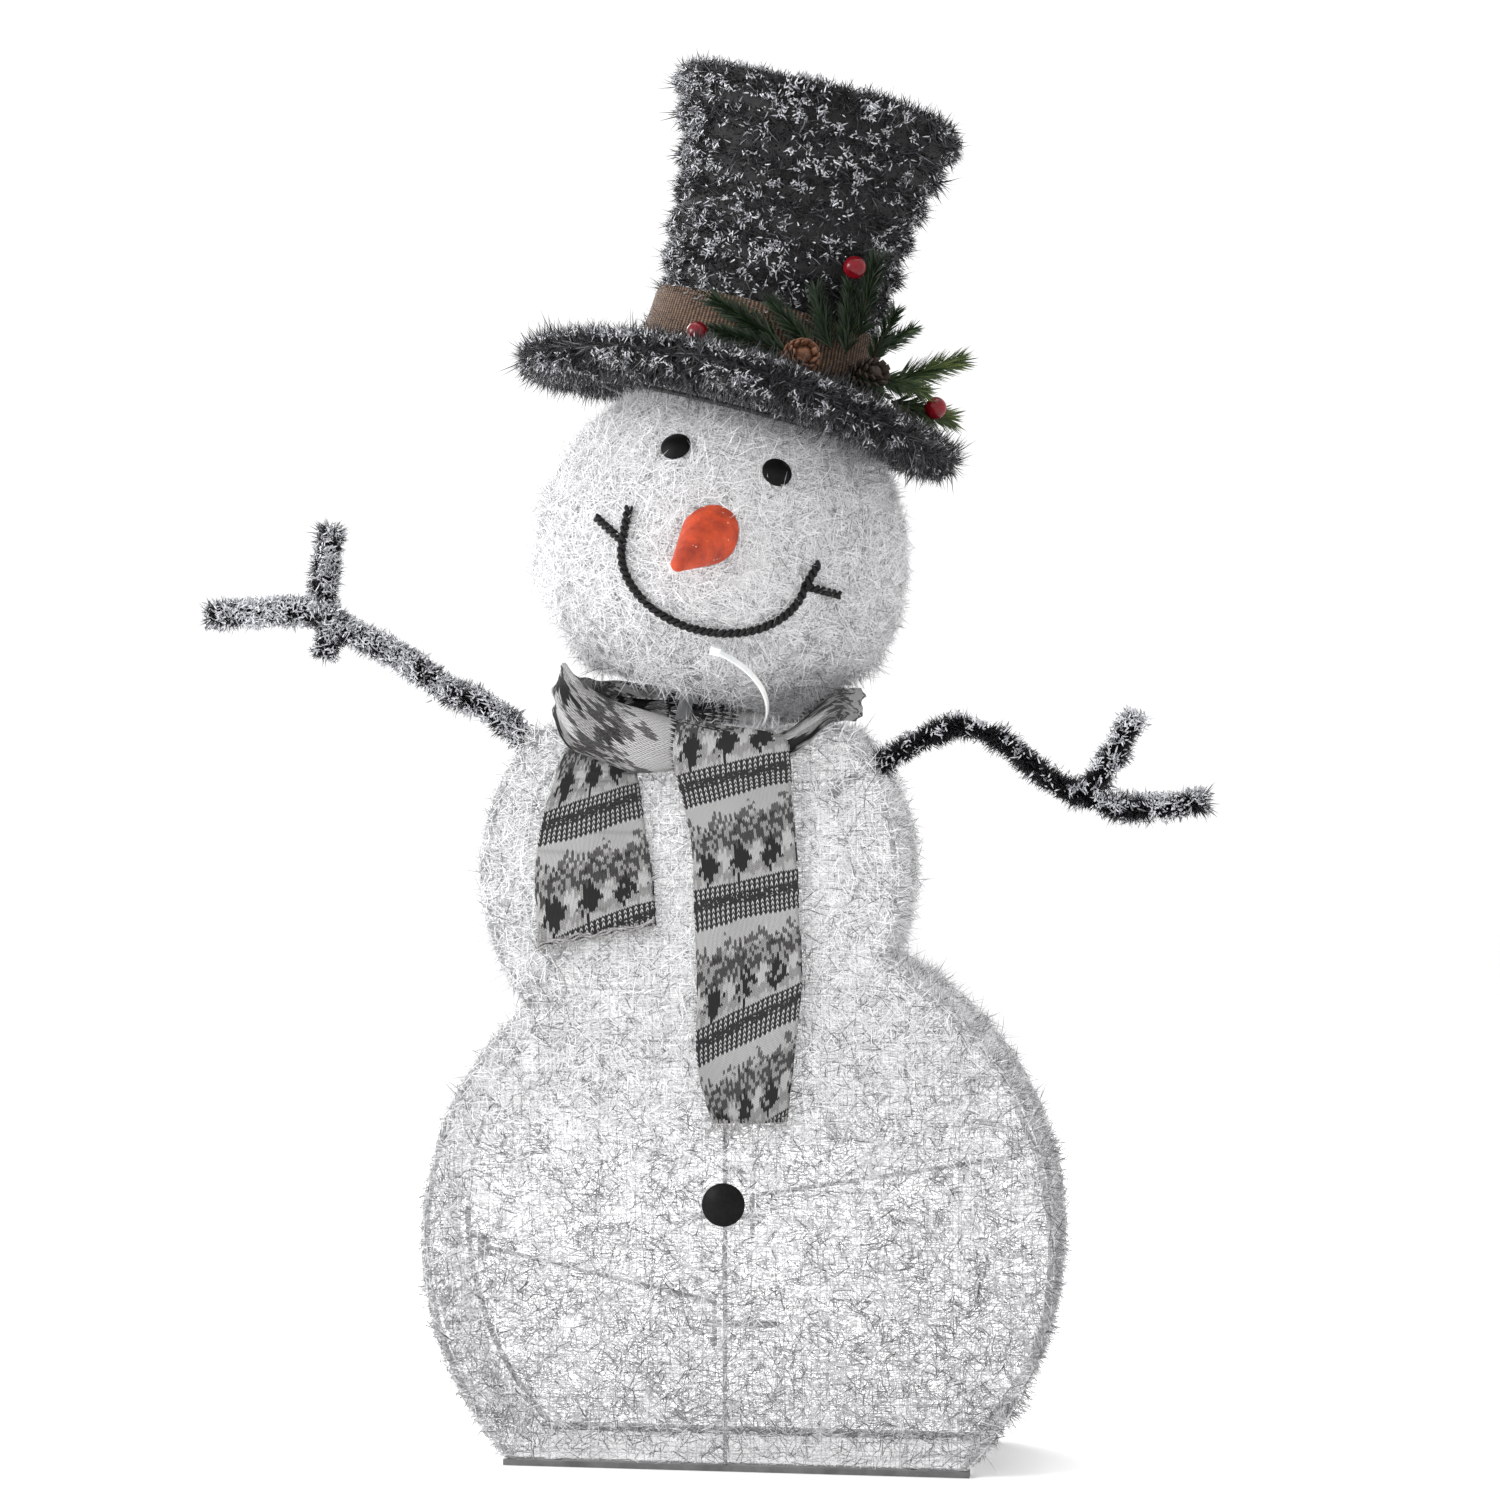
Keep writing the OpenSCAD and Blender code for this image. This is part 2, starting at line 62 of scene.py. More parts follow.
# ---- Painted wire and steel tube ---------------------------------
# White powder coat over steel wire: faint orange peel, and greyer where it has rubbed. It is on the panel
# wires, rails, struts, sockets, neck post and head cage. The wire is coloured mid grey throughout, and the
# rails near black, as painted shade.


class Fac:
    """A shader value; arithmetic and comparisons on it add Math nodes to its tree."""

    def __init__(self, socket):
        self.socket = socket

    def __add__(self, other):
        return calc("ADD", self, other)

    def __sub__(self, other):
        return calc("SUBTRACT", self, other)

    def __rsub__(self, other):
        return calc("SUBTRACT", other, self)

    def __mul__(self, other):
        return calc("MULTIPLY", self, other)

    def __truediv__(self, other):
        return calc("DIVIDE", self, other)

    def __mod__(self, other):
        return calc("FLOORED_MODULO", self, other)

    def __gt__(self, other):
        return calc("GREATER_THAN", self, other)

    def __lt__(self, other):
        return calc("LESS_THAN", self, other)

    def __abs__(self):
        return calc("ABSOLUTE", self)

    __radd__, __rmul__ = __add__, __mul__


def fill(tree, slot, value):
    """Links a shader value or a socket to a node's input, or sets the number on it."""
    value = value.socket if isinstance(value, Fac) else value
    if isinstance(value, bpy.types.NodeSocket):
        tree.links.new(value, slot)
    else:
        slot.default_value = value


def calc(operation, *values):
    """One Math node on shader values and numbers."""
    tree = next(v for v in values if isinstance(v, Fac)).socket.id_data
    made = tree.nodes.new("ShaderNodeMath")
    made.operation = operation
    for slot, value in zip(made.inputs, values):
        fill(tree, slot, value)
    return Fac(made.outputs[0])


def add_node(tree, kind, output, inputs=None, **settings):
    """Adds a shader node with its settings and inputs; returns one output's socket."""
    made = tree.nodes.new("ShaderNode" + kind)
    for key, value in settings.items():
        setattr(made, key, value)
    for key, value in (inputs or {}).items():
        fill(tree, made.inputs[key], value)
    return made.outputs[output]


def new_material(name, **surface):
    """A material with a Principled surface; returns it, its tree and its shader."""
    material = bpy.data.materials.new(name)
    material.use_nodes = True
    shader = material.node_tree.nodes["Principled BSDF"]
    for key, value in surface.items():
        shader.inputs[key.replace("_", " ")].default_value = value
    return material, material.node_tree, shader


def object_place(tree):
    return add_node(tree, "TexCoord", "Object")


def grain(tree, place, scale, detail=3.0, rough=0.6):
    """Noise at a place; scale is in features per metre."""
    return Fac(add_node(tree, "TexNoise", "Fac", {"Vector": place, "Scale": scale, "Detail": detail,
                                                  "Roughness": rough}))


def wobble(tree, place, scale, reach, detail=2.0):
    """A place shifted by slow noise, so that straight patterns on it wander."""
    noise_at = add_node(tree, "TexNoise", "Color", {"Vector": place, "Scale": scale, "Detail": detail})
    shift = add_node(tree, "VectorMath", 0, {0: noise_at, 1: (*reach, 0.0)}, operation="MULTIPLY")
    return add_node(tree, "VectorMath", 0, {0: place, 1: shift}, operation="ADD")


def both(tree, place):
    """A map's two coordinates as shader values."""
    made = add_node(tree, "SeparateXYZ", "X", {"Vector": place}).node
    return Fac(made.outputs["X"]), Fac(made.outputs["Y"])


def ramp(tree, fac, stops):
    """A colour ramp; stops are (place, grey) or (place, (r, g, b))."""
    colours = add_node(tree, "ValToRGB", "Color", {"Fac": fac})
    band = colours.node.color_ramp
    while len(band.elements) < len(stops):
        band.elements.new(1.0)
    for element, (at, tone) in zip(band.elements, stops):
        element.position = at
        tone = (tone,) * 3 if isinstance(tone, (int, float)) else tone
        element.color = (*tone, 1.0)
    return colours


def relief(tree, shader, height, strength, depth):
    bump = add_node(tree, "Bump", "Normal", {"Height": height, "Strength": strength, "Distance": depth})
    fill(tree, shader.inputs["Normal"], bump)


def colour(tree, shader, socket):
    fill(tree, shader.inputs["Base Color"], socket)


def finish_nodes(material, *names):
    for name in names:
        nodes[name].data.materials.clear()
        nodes[name].data.materials.append(material)


def grained(name, scale, stops, bump, *names, detail=3.0, **surface):
    """A material of mottled colour with a fine relief, from bump's (scale, detail,
    strength, depth), put on the CAD nodes named."""
    material, tree, shader = new_material(name, **surface)
    place = object_place(tree)
    colour(tree, shader, ramp(tree, grain(tree, place, scale, detail), stops))
    bump_scale, bump_detail, strength, depth = bump
    relief(tree, shader, grain(tree, place, bump_scale, bump_detail), strength, depth)
    finish_nodes(material, *names)
    return material


def settle(piece, body, slot, *stands_for):
    """Puts a piece on its body, in place of the CAD nodes it stands for, which it hides. slot is not used."""
    if stands_for:
        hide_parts(*stands_for)
    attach(piece, body)


# Painted shade: the white-coated wire is coloured mid grey, as it looks in shade.
grained("white_wire_painted_shade", 60, [(0.3, (0.24, 0.25, 0.26)), (0.6, (0.36, 0.37, 0.37))],
        (900, 2, 0.25, 0.0004), "front_outline", "centre_post", "guide_loops", "socket_right", "socket_left",
        "neck_post", "back_outline", "spreader_right", "spreader_left", "head_frame", "head_hoops",
        Roughness=0.42)
# Painted shade: the rails, white-coated like the wire, are coloured near black for their shadowed side.
grained("rail_painted_shade", 60, [(0.3, 0.07), (0.7, 0.13)], (900, 2, 0.25, 0.0004), "front_rail", "back_rail",
        Roughness=0.5)
grained("black_wire_paint", 90, [(0.35, 0.012), (0.7, 0.035)], (1100, 2, 0.2, 0.0003), "hat_wire",
        "arm_rod_right", "arm_wire_right", "arm_rod_left", "arm_wire_left", Roughness=0.35)

# ---- Fibre netting of the body -----------------------------------
# Spun white fibre laid every way on a thin open net and stretched over the two
# panels, with a strip sewn round between them. Short ends stand off all over it.
MM = 0.001
low_r, low_z = 0.263, 0.188
mid_r, mid_x, mid_z = 0.173, -0.039, 0.4975
top_z, rail_top = 0.615, 0.006
net_front, net_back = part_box("front_net"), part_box("back_net")
front_y = (net_front[0][1] + net_front[1][1]) / 2
back_y = (net_back[0][1] + net_back[1][1]) / 2
net_out = 0.004


def new_piece(name, bm, material):
    """Turns a bmesh into a finished object with one material, lying in place."""
    mesh = bpy.data.meshes.new(name)
    bm.to_mesh(mesh)
    bm.free()
    for face in mesh.polygons:
        face.use_smooth = True
    mesh.materials.append(material)
    piece = bpy.data.objects.new(name, mesh)
    bpy.context.scene.collection.objects.link(piece)
    return piece


def map_piece(piece, name, rule):
    """Gives a piece a UV map in metres, from a rule on each vertex's place."""
    spots = [rule(v.co) for v in piece.data.vertices]
    layer = piece.data.uv_layers.new(name=name)
    for loop in piece.data.loops:
        layer.data[loop.index].uv = spots[loop.vertex_index]


def scatter(piece, count, rng):
    """Random points spread evenly over a piece's faces, with the faces' normals. The faces
    are sorted by place, because bmesh may leave them in a different order each time."""
    faces = []
    for face in piece.data.polygons:
        ring = [tuple(piece.data.vertices[i].co) for i in face.vertices]
        first = ring.index(min(ring))
        ring = ring[first:] + ring[:first]
        faces += [(ring[0], b, c) for b, c in zip(ring[1:], ring[2:])]
    a, b, c = np.array(sorted(faces)).transpose(1, 0, 2)
    cross = np.cross(b - a, c - a)
    size = np.linalg.norm(cross, axis=1)
    pick = rng.choice(len(size), count, p=size / size.sum())
    u, v = rng.random((2, count, 1))
    flip = (u + v) > 1
    u, v = np.where(flip, 1 - u, u), np.where(flip, 1 - v, v)
    return (a[pick] + (b - a)[pick] * u + (c - a)[pick] * v, cross[pick] / size[pick][:, None])


def unit(v):
    return v / np.maximum(np.linalg.norm(v, axis=1, keepdims=True), 1e-9)


def strands(name, root, way, out, length, width, curl, shade, material, rng):
    """Loose strips of fibre or tinsel: each starts at root, runs along way, bends by curl and ends in a
    point. shade is kept on each as a point attribute: frosting on tinsel, and on fibres and needles their
    tone with painted shade and painted light."""
    n = len(root)
    length = np.broadcast_to(length, n)[:, None]
    across = unit(np.cross(way, out) + 0.25 * rng.normal(size=(n, 3))) * width / 2
    bend = unit(rng.normal(size=(n, 3))) * curl * length
    mid = root + way * length * 0.5 + bend * 0.35
    tip = root + way * length + bend
    points = np.stack([root - across, root + across, mid + across, mid - across, tip], 1).reshape(-1, 3)
    mesh = bpy.data.meshes.new(name)
    mesh.vertices.add(n * 5)
    mesh.vertices.foreach_set("co", points.ravel())
    base = np.arange(n)[:, None] * 5
    loops = np.concatenate([base + [0, 1, 2, 3], base + [3, 2, 4]], 1).ravel()
    mesh.loops.add(n * 7)
    mesh.loops.foreach_set("vertex_index", loops.astype(np.int32))
    mesh.polygons.add(n * 2)
    starts = (np.arange(n)[:, None] * 7 + [0, 4]).ravel()
    mesh.polygons.foreach_set("loop_start", starts.astype(np.int32))
    mesh.update(calc_edges=True)
    frost_and_painted_light = mesh.attributes.new("frost_and_painted_light", "FLOAT", "POINT")
    level = np.repeat(shade[:, None], 5, 1)
    frost_and_painted_light.data.foreach_set("value", level.ravel().astype(np.float32))
    mesh.materials.append(material)
    piece = bpy.data.objects.new(name, mesh)
    bpy.context.scene.collection.objects.link(piece)
    return piece


def patchy(points, scale, seed):
    """Slow random variation, -1 to 1, at a set of places."""
    shift = Vector((seed * 3.1, seed * 1.7, seed * 2.3))
    return np.array([noise.noise(Vector(p) * scale + shift) for p in points])


net_cloth, tree, shader = new_material("spun_fibre_net", Roughness=0.75)
place = add_node(tree, "UVMap", "UV", uv_map="net")
bent = wobble(tree, place, 40.0, (0.016, 0.016))
strokes = None
for turn in (0.2, 0.9, 1.7, 2.6):
    spun_way = add_node(tree, "Mapping", 0, {"Vector": bent, "Rotation": (0.0, 0.0, turn),
                                             "Location": (turn, turn, 0.0), "Scale": (85.0, 900.0, 1.0)})
    stroke = Fac(add_node(tree, "TexNoise", "Fac", {"Vector": spun_way, "Scale": 1.0, "Detail": 1.0}))
    stroke = (stroke - 0.60) * 14.0
    strokes = stroke if strokes is None else calc("MAXIMUM", strokes, stroke)
threads = None
for along in both(tree, wobble(tree, place, 9.0, (0.012, 0.012))):
    for pitch, wide in ((0.0074, 0.045), (0.043, 0.014)):
        line = abs(calc("FRACT", along / pitch) - 0.5) < wide
        threads = line if threads is None else calc("MAXIMUM", threads, line)
clumps = grain(tree, place, 30, 4)
tone = grain(tree, place, 420, 3) * 0.55 + clumps * 0.45 - threads * 0.10
colour(tree, shader, ramp(tree, tone, [(0.30, (0.10, 0.10, 0.11)), (0.44, (0.38, 0.38, 0.39)),
                                       (0.60, (0.88, 0.88, 0.89))]))
cover = calc("MAXIMUM", strokes, threads * 0.42) + (clumps - 0.46) * 1.7
fill(tree, shader.inputs["Alpha"], calc("MINIMUM", calc("MAXIMUM", cover, 0.07), 1.0))

# The fibres take their colour from the point attribute, which carries painted shade on the body and head
# fibres.
loose_fibre, tree, shader = new_material("loose_white_fibre", Roughness=0.6)
frost_and_painted_light = add_node(tree, "Attribute", "Fac", attribute_name="frost_and_painted_light")
colour(tree, shader, ramp(tree, frost_and_painted_light, [(0.0, (0.03, 0.03, 0.032)), (0.5, (0.32, 0.32, 0.33)),
                                        (1.0, (0.96, 0.96, 0.97))]))


def lay_fibres(name, skin, count, length, lift, seed, painted_shade_share, tufts=0.0, clear=(), width=0.0008):
    """Short fibres lying nearly flat on a skin, every way. The function given for shade sets, at each place,
    the share of dark fibres and how much the pale ones are dimmed, as painted shade; tufts is how far patches
    of them stand off, clear the discs kept bare."""
    rng = np.random.default_rng(seed)
    root, out = scatter(skin, count, rng)
    flat = rng.normal(size=(count, 3))
    flat = unit(flat - out * np.sum(flat * out, 1, keepdims=True))
    stand = np.clip(patchy(root, 24, seed + 9) - 0.18, 0, 1)[:, None] * tufts
    rise = lift * rng.random((count, 1)) ** 3 + stand
    way = unit(flat * (1 - 0.6 * np.minimum(rise, 1)) + out * (rise + 0.03))
    clumped = 1 + 1.0 * patchy(root, 26, seed + 5) + 5.0 * patchy(root, 130, seed + 6)
    # Painted shade: where the given function is high, more fibres are dark and the pale ones are dimmed. The
    # clumping on top of it is random.
    share = np.clip(painted_shade_share(root) * clumped, 0, 0.95)
    pale = 0.72 + 0.28 * rng.random(count) - 0.45 * painted_shade_share(root)
    tone = np.where(rng.random(count) < share, 0.45 * rng.random(count), pale)
    size = length * (0.45 + 1.1 * rng.random(count))
    keep = root[:, 2] + way[:, 2] * size - 0.35 * size > 0.0005
    for centre, reach in clear:
        for part in (0.0, 0.5, 1.0):
            spot = root + way * (size * part)[:, None]
            keep &= np.linalg.norm(spot - np.array(centre), axis=1) > reach
    return strands(name, (root + out * 0.0003)[keep], way[keep], out[keep], size[keep], width, 0.35,
                   tone[keep], loose_fibre, rng)


def body_painted_shade(root):
    """Painted shade: a share of dark fibre everywhere, and more low down and to the right, where less light
    comes through.
    """
    low = np.clip((0.46 - root[:, 2]) / 0.40, 0, 1)
    return 0.10 + 0.42 * low ** 1.3 + 0.12 * np.clip(root[:, 0] / 0.25, 0, 1)


def inside_panel(x, z):
    if z < rail_top or z > top_z:
        return False
    return math.hypot(x, z - low_z) < low_r or math.hypot(x - mid_x, z - mid_z) < mid_r


def panel_skin(name, y, toward):
    """One flat netting panel: a grid trimmed to the outline and pulled out to its edge."""
    bm = bmesh.new()
    step = 0.008
    reach = low_r + 0.02
    tall = top_z + 0.01
    bmesh.ops.create_grid(bm, x_segments=int(2 * reach / step), y_segments=int(tall / step), size=0.5)
    bmesh.ops.scale(bm, vec=(2 * reach, tall, 1), verts=bm.verts)
    bmesh.ops.rotate(bm, cent=(0, 0, 0), matrix=Matrix.Rotation(math.pi / 2, 3, "X"), verts=bm.verts)
    bmesh.ops.translate(bm, vec=(0, 0, rail_top + tall / 2), verts=bm.verts)
    out = [f for f in bm.faces if not inside_panel(*f.calc_center_median().xz)]
    bmesh.ops.delete(bm, geom=out, context="FACES")
    for v in bm.verts:
        x, z = v.co.xz
        if v.is_boundary:
            low = math.hypot(x, z - low_z)
            mid = math.hypot(x - mid_x, z - mid_z)
            if z > top_z - step:
                z = top_z + net_out
            elif abs(low - low_r) < abs(mid - mid_r) and z > rail_top + 0.3 * step:
                x, z = x * (low_r + net_out) / low, low_z + (z - low_z) * (low_r + net_out) / low
            elif z > rail_top + 0.3 * step:
                x = mid_x + (x - mid_x) * (mid_r + net_out) / mid
                z = mid_z + (z - mid_z) * (mid_r + net_out) / mid
        pucker = 0.0008 * noise.noise(Vector((x, y, z)) * 35) + 0.0006 * noise.noise(Vector((x, y, z)) * 120)
        v.co = (x, y + toward * abs(pucker), z)
    if toward > 0:
        bmesh.ops.reverse_faces(bm, faces=bm.faces)
    piece = new_piece(name, bm, net_cloth)
    map_piece(piece, "net", lambda co: (co.x, co.z))
    return piece


def outline_points(step=0.008):
    """The panel's outline from its left foot over the top to its right foot, as x and z."""
    link = math.atan2(mid_z - low_z, mid_x)
    gap = math.hypot(mid_x, mid_z - low_z)
    low_half = math.acos((gap ** 2 + low_r ** 2 - mid_r ** 2) / (2 * gap * low_r))
    mid_half = math.acos((gap ** 2 + mid_r ** 2 - low_r ** 2) / (2 * gap * mid_r))
    foot = math.asin((rail_top - low_z) / low_r)
    top = math.asin((top_z - mid_z) / mid_r)
    arcs = [(0, low_z, low_r, math.pi - foot, link + low_half),
            (mid_x, mid_z, mid_r, link + math.pi - mid_half, math.pi - top),
            (mid_x, mid_z, mid_r, top, link - math.pi + mid_half),
            (0, low_z, low_r, link - low_half, foot)]
    points = []
    for x, z, r, start, end in arcs:
        r += net_out
        count = max(2, int(abs(end - start) * r / step))
        points += [(x + r * math.cos(start + (end - start) * i / count),
                    z + r * math.sin(start + (end - start) * i / count)) for i in range(count + 1)]
    return points


def side_skin(name):
    """The strip between the panels: the outline drawn back in steps, drawn in at mid depth."""
    bm = bmesh.new()
    rim = [bm.verts.new((x, front_y, z)) for x, z in outline_points()]
    edges = [bm.edges.new(pair) for pair in zip(rim, rim[1:])]
    steps = 20
    for i in range(steps):
        grown = bmesh.ops.extrude_edge_only(bm, edges=edges)["geom"]
        edges = [g for g in grown if isinstance(g, bmesh.types.BMEdge)]
        moved = [g for g in grown if isinstance(g, bmesh.types.BMVert)]
        bmesh.ops.translate(bm, vec=(0, (back_y - front_y) / steps, 0), verts=moved)
    for v in bm.verts:
        depth = (v.co.y - front_y) / (back_y - front_y)
        centre = Vector((0, 0, low_z)) if v.co.z < 0.4 else Vector((mid_x, 0, mid_z))
        inward = (centre - Vector((v.co.x, 0, v.co.z))).normalized()
        slack = max(0.0, math.sin(math.pi * depth) - 0.37) / 0.63
        sag = slack * (0.006 + 0.0016 * noise.noise(v.co * 40))
        if v.co.z < top_z - 0.002:
            v.co += inward * sag
    bmesh.ops.recalc_face_normals(bm, faces=bm.faces)
    bmesh.ops.remove_doubles(bm, verts=bm.verts, dist=1e-6)
    piece = new_piece(name, bm, net_cloth)
    middle = piece.data.polygons[len(piece.data.polygons) // 2]
    if middle.normal.dot(middle.center - Vector((0, 0.08, 0.3))) < 0:
        piece.data.flip_normals()
    map_piece(piece, "net", lambda co: (co.y + 0.4, co.z if abs(co.x - mid_x) > 0.1 else co.x + 1.0))
    return piece


front_skin = panel_skin("front_netting", front_y, -1)
settle(front_skin, "front_frame", "netting", "front_net")
back_skin = panel_skin("back_netting", back_y, 1)
settle(back_skin, "back_frame", "netting", "back_net")
band_skin = side_skin("side_netting")
settle(band_skin, "front_frame", "netting", "side_net")
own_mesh(band_skin)

button_at = (-0.009, -0.008, 0.222)
front_fibre = lay_fibres("front_fibres", front_skin, 30000, 0.012, 0.15, 1, body_painted_shade, 0.35,
                         clear=[(button_at, 0.0195)], width=0.0006)
settle(front_fibre, "front_frame", "netting")
back_fibre = lay_fibres("back_fibres", back_skin, 14000, 0.013, 0.3, 2, body_painted_shade, 0.5, width=0.0006)
settle(back_fibre, "back_frame", "netting")
side_fibre = lay_fibres("side_fibres", band_skin, 40000, 0.012, 0.6, 3, body_painted_shade, 1.8, width=0.0006)
settle(side_fibre, "front_frame", "netting")
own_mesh(side_fibre)

# ---- Head netting ------------------------------------------------
# The same spun fibre over the ball cage, drawn in to a cone at the neck and cut
# flat underneath. It is made upright about the ball's centre and then tipped.
head_at = Vector((-0.024, 0.080, 0.763))
head_r, head_cut, base_r = 0.160, 0.115, 0.088
rope_r = head_r + 0.004
head_lean = Matrix.Translation(head_at) @ Matrix.Rotation(math.radians(14), 4, "Y")


def on_head(piece_or_bm):
    verts = piece_or_bm.verts if isinstance(piece_or_bm, bmesh.types.BMesh) else piece_or_bm.data.vertices
    for v in verts:
        v.co = head_lean @ v.co


def head_way(a, e, r):
    """A place on the ball: a degrees to the right of front, e up, r from its centre."""
    a, e = math.radians(a), math.radians(e)
    return Vector((math.sin(a) * math.cos(e), -math.cos(a) * math.cos(e), math.sin(e))) * r


def smile_way(t):
    """A place along the smile, t from minus to plus a quarter turn."""
    return head_way(7 + 28 * math.sin(t), -22 + 20 * (1 - math.cos(t)), rope_r)


bm = bmesh.new()
bmesh.ops.create_uvsphere(bm, u_segments=96, v_segments=64, radius=head_r - 0.0008)
bmesh.ops.bisect_plane(bm, geom=bm.verts[:] + bm.edges[:] + bm.faces[:], plane_co=(0, 0, -head_cut),
                       plane_no=(0, 0, 1), clear_inner=True)
for v in bm.verts:
    across = math.hypot(v.co.x, v.co.y)
    most = base_r + head_cut + v.co.z
    if across > most:
        v.co.x, v.co.y = v.co.x * most / across, v.co.y * most / across
    dent = 1 - 0.006 * abs(noise.noise(v.co * 14)) - 0.003 * abs(noise.noise(v.co * 50))
    v.co.x, v.co.y = v.co.x * dent, v.co.y * dent
head_skin = new_piece("head_netting", bm, net_cloth)
map_piece(head_skin, "net", lambda co: (math.atan2(abs(co.x), -co.y) * 0.15 * (1 if co.x > 0 else -1),
                                        math.asin(max(-1, min(1, co.z / 0.16))) * 0.15))
on_head(head_skin)
settle(head_skin, "head", "netting", "head_net")
face_clear = [(head_lean @ head_way(-15.8, 30, head_r + 0.002), 0.0135),
              (head_lean @ head_way(20.2, 29.5, head_r + 0.002), 0.0135),
              (head_lean @ head_way(3.6, 4.9, head_r + 0.003), 0.0235)]
face_clear += [(head_lean @ smile_way(t), 0.0042) for t in np.linspace(-math.pi / 2, math.pi / 2, 60)]


def head_painted_shade(root):
    """Painted shade: dark fibre under the chin and down the right side."""
    chin = np.clip((0.735 - root[:, 2]) / 0.07, 0, 1)
    return 0.02 + 0.14 * chin + 0.08 * np.clip((root[:, 0] - 0.02) / 0.10, 0, 1)


head_fibre = lay_fibres("head_fibres", head_skin, 52000, 0.016, 0.25, 4, head_painted_shade, 1.3, clear=face_clear,
                        width=0.0005)
settle(head_fibre, "head", "netting")

bm = bmesh.new()
bmesh.ops.create_circle(bm, cap_ends=False, segments=96, radius=0.012)
inner = bm.edges[:]
for r in (0.03, 0.05, 0.07, base_r - 0.001):
    grown = bmesh.ops.extrude_edge_only(bm, edges=inner)["geom"]
    inner = [g for g in grown if isinstance(g, bmesh.types.BMEdge)]
    for v in [g for g in grown if isinstance(g, bmesh.types.BMVert)]:
        v.co = v.co.normalized() * r
for v in bm.verts:
    v.co.z = -head_cut - 0.001 - 0.0008 * abs(noise.noise(v.co * 40))
bmesh.ops.recalc_face_normals(bm, faces=bm.faces)
under_skin = new_piece("head_under_netting", bm, net_cloth)
map_piece(under_skin, "net", lambda co: (co.x, co.y))
on_head(under_skin)
settle(under_skin, "head", "netting", "head_base_net")

# ---- Tinsel hat --------------------------------------------------
# Charcoal tinsel wound in rows over a dark mesh crown and a wire brim, with
# flakes of white frosting stuck to its ends, thickest on the sunny side.
hat_lean = head_lean @ Matrix.Translation((-0.010, 0, 0))
hat_top = 0.406
crown_shape = [(100, 140), (100, 170), (96, 215), (103, 270), (105, 318), (114, 353), (129, 406)]
brim_u, brim_in, brim_out, brim_x, brim_wave = 0.140, 0.112, 0.196, -0.006, 0.015

tinsel, tree, shader = new_material("frosted_tinsel", Roughness=0.5)
frost_and_painted_light = add_node(tree, "Attribute", "Fac", attribute_name="frost_and_painted_light")
colour(tree, shader, ramp(tree, frost_and_painted_light, [(0.0, (0.004, 0.004, 0.005)), (0.4, (0.030, 0.030, 0.034)),
                                        (0.62, (0.16, 0.165, 0.18)), (0.95, (0.66, 0.67, 0.70))]))

hat_mesh, tree, shader = new_material("dark_hat_mesh", Roughness=0.8)
place = object_place(tree)
colour(tree, shader, ramp(tree, grain(tree, place, 120), [(0.3, 0.004), (0.7, 0.016)]))
holes = Fac(add_node(tree, "TexVoronoi", "Distance", {"Vector": place, "Scale": 230.0}, feature="F1"))
fill(tree, shader.inputs["Alpha"], holes > 0.20)


def spun(name, profile, material, place_on, segments=96):
    """A wall turned about the upright axis from (radius, height) points."""
    bm = bmesh.new()
    verts = [bm.verts.new((r, 0, z)) for r, z in profile]
    edges = [bm.edges.new(pair) for pair in zip(verts, verts[1:])]
    bmesh.ops.spin(bm, geom=verts + edges, cent=(0, 0, 0), axis=(0, 0, 1), angle=math.tau,
                   steps=segments, use_merge=True)
    bmesh.ops.remove_doubles(bm, verts=bm.verts, dist=1e-5)
    bmesh.ops.recalc_face_normals(bm, faces=bm.faces)
    for v in bm.verts:
        v.co = place_on @ v.co
    return new_piece(name, bm, material)


def tinsel_pile(name, base, count, length, seed, stand=0.8, rows=None):
    """Dark tinsel strips standing on a base; rows gives each one's size along the winding."""
    rng = np.random.default_rng(seed)
    root, out = scatter(base, count, rng)
    size = np.ones(count) if rows is None else rows(root)
    way = unit(out * stand + rng.normal(size=(count, 3)) * 0.60)
    shade = np.clip(0.04 + 0.30 * rng.random(count) + 0.14 * patchy(root, 45, seed), 0, 1)
    shade = np.where(rng.random(count) < 0.06, 0.60, shade)
    size = size * (1 + 0.55 * patchy(root, 110, seed + 2))
    return strands(name, root + out * (size * 0.003 - 0.003)[:, None], way, out,
                   length * size * (0.6 + 0.7 * rng.random(count)), 0.0010, 0.5, shade, tinsel, rng)


def frosting(name, base, count, height, seed, amount, rows=None):
    """White flakes on the outer ends of the tinsel, in clumps; amount is how likely by place."""
    rng = np.random.default_rng(seed)
    root, out = scatter(base, count, rng)
    size = np.ones(count) if rows is None else rows(root)
    clump = 1.5 * patchy(root, 110, seed) + 0.7 * patchy(root, 30, seed + 3) + 0.30 * rng.normal(size=count)
    keep = clump > 0.78 - 0.95 * amount(root)
    root = root + out * (height * size * (0.55 + 0.5 * rng.random(count)))[:, None]
    way = unit(out * 0.45 + rng.normal(size=(count, 3)))
    return strands(name, root[keep], way[keep], out[keep], (0.0042 * (0.4 + rng.random(count)))[keep], 0.0011,
                   0.4, (0.56 + 0.44 * rng.random(count))[keep], tinsel, rng)


def in_hat(root):
    back = np.array(hat_lean.inverted())
    return root @ back[:3, :3].T + back[:3, 3]


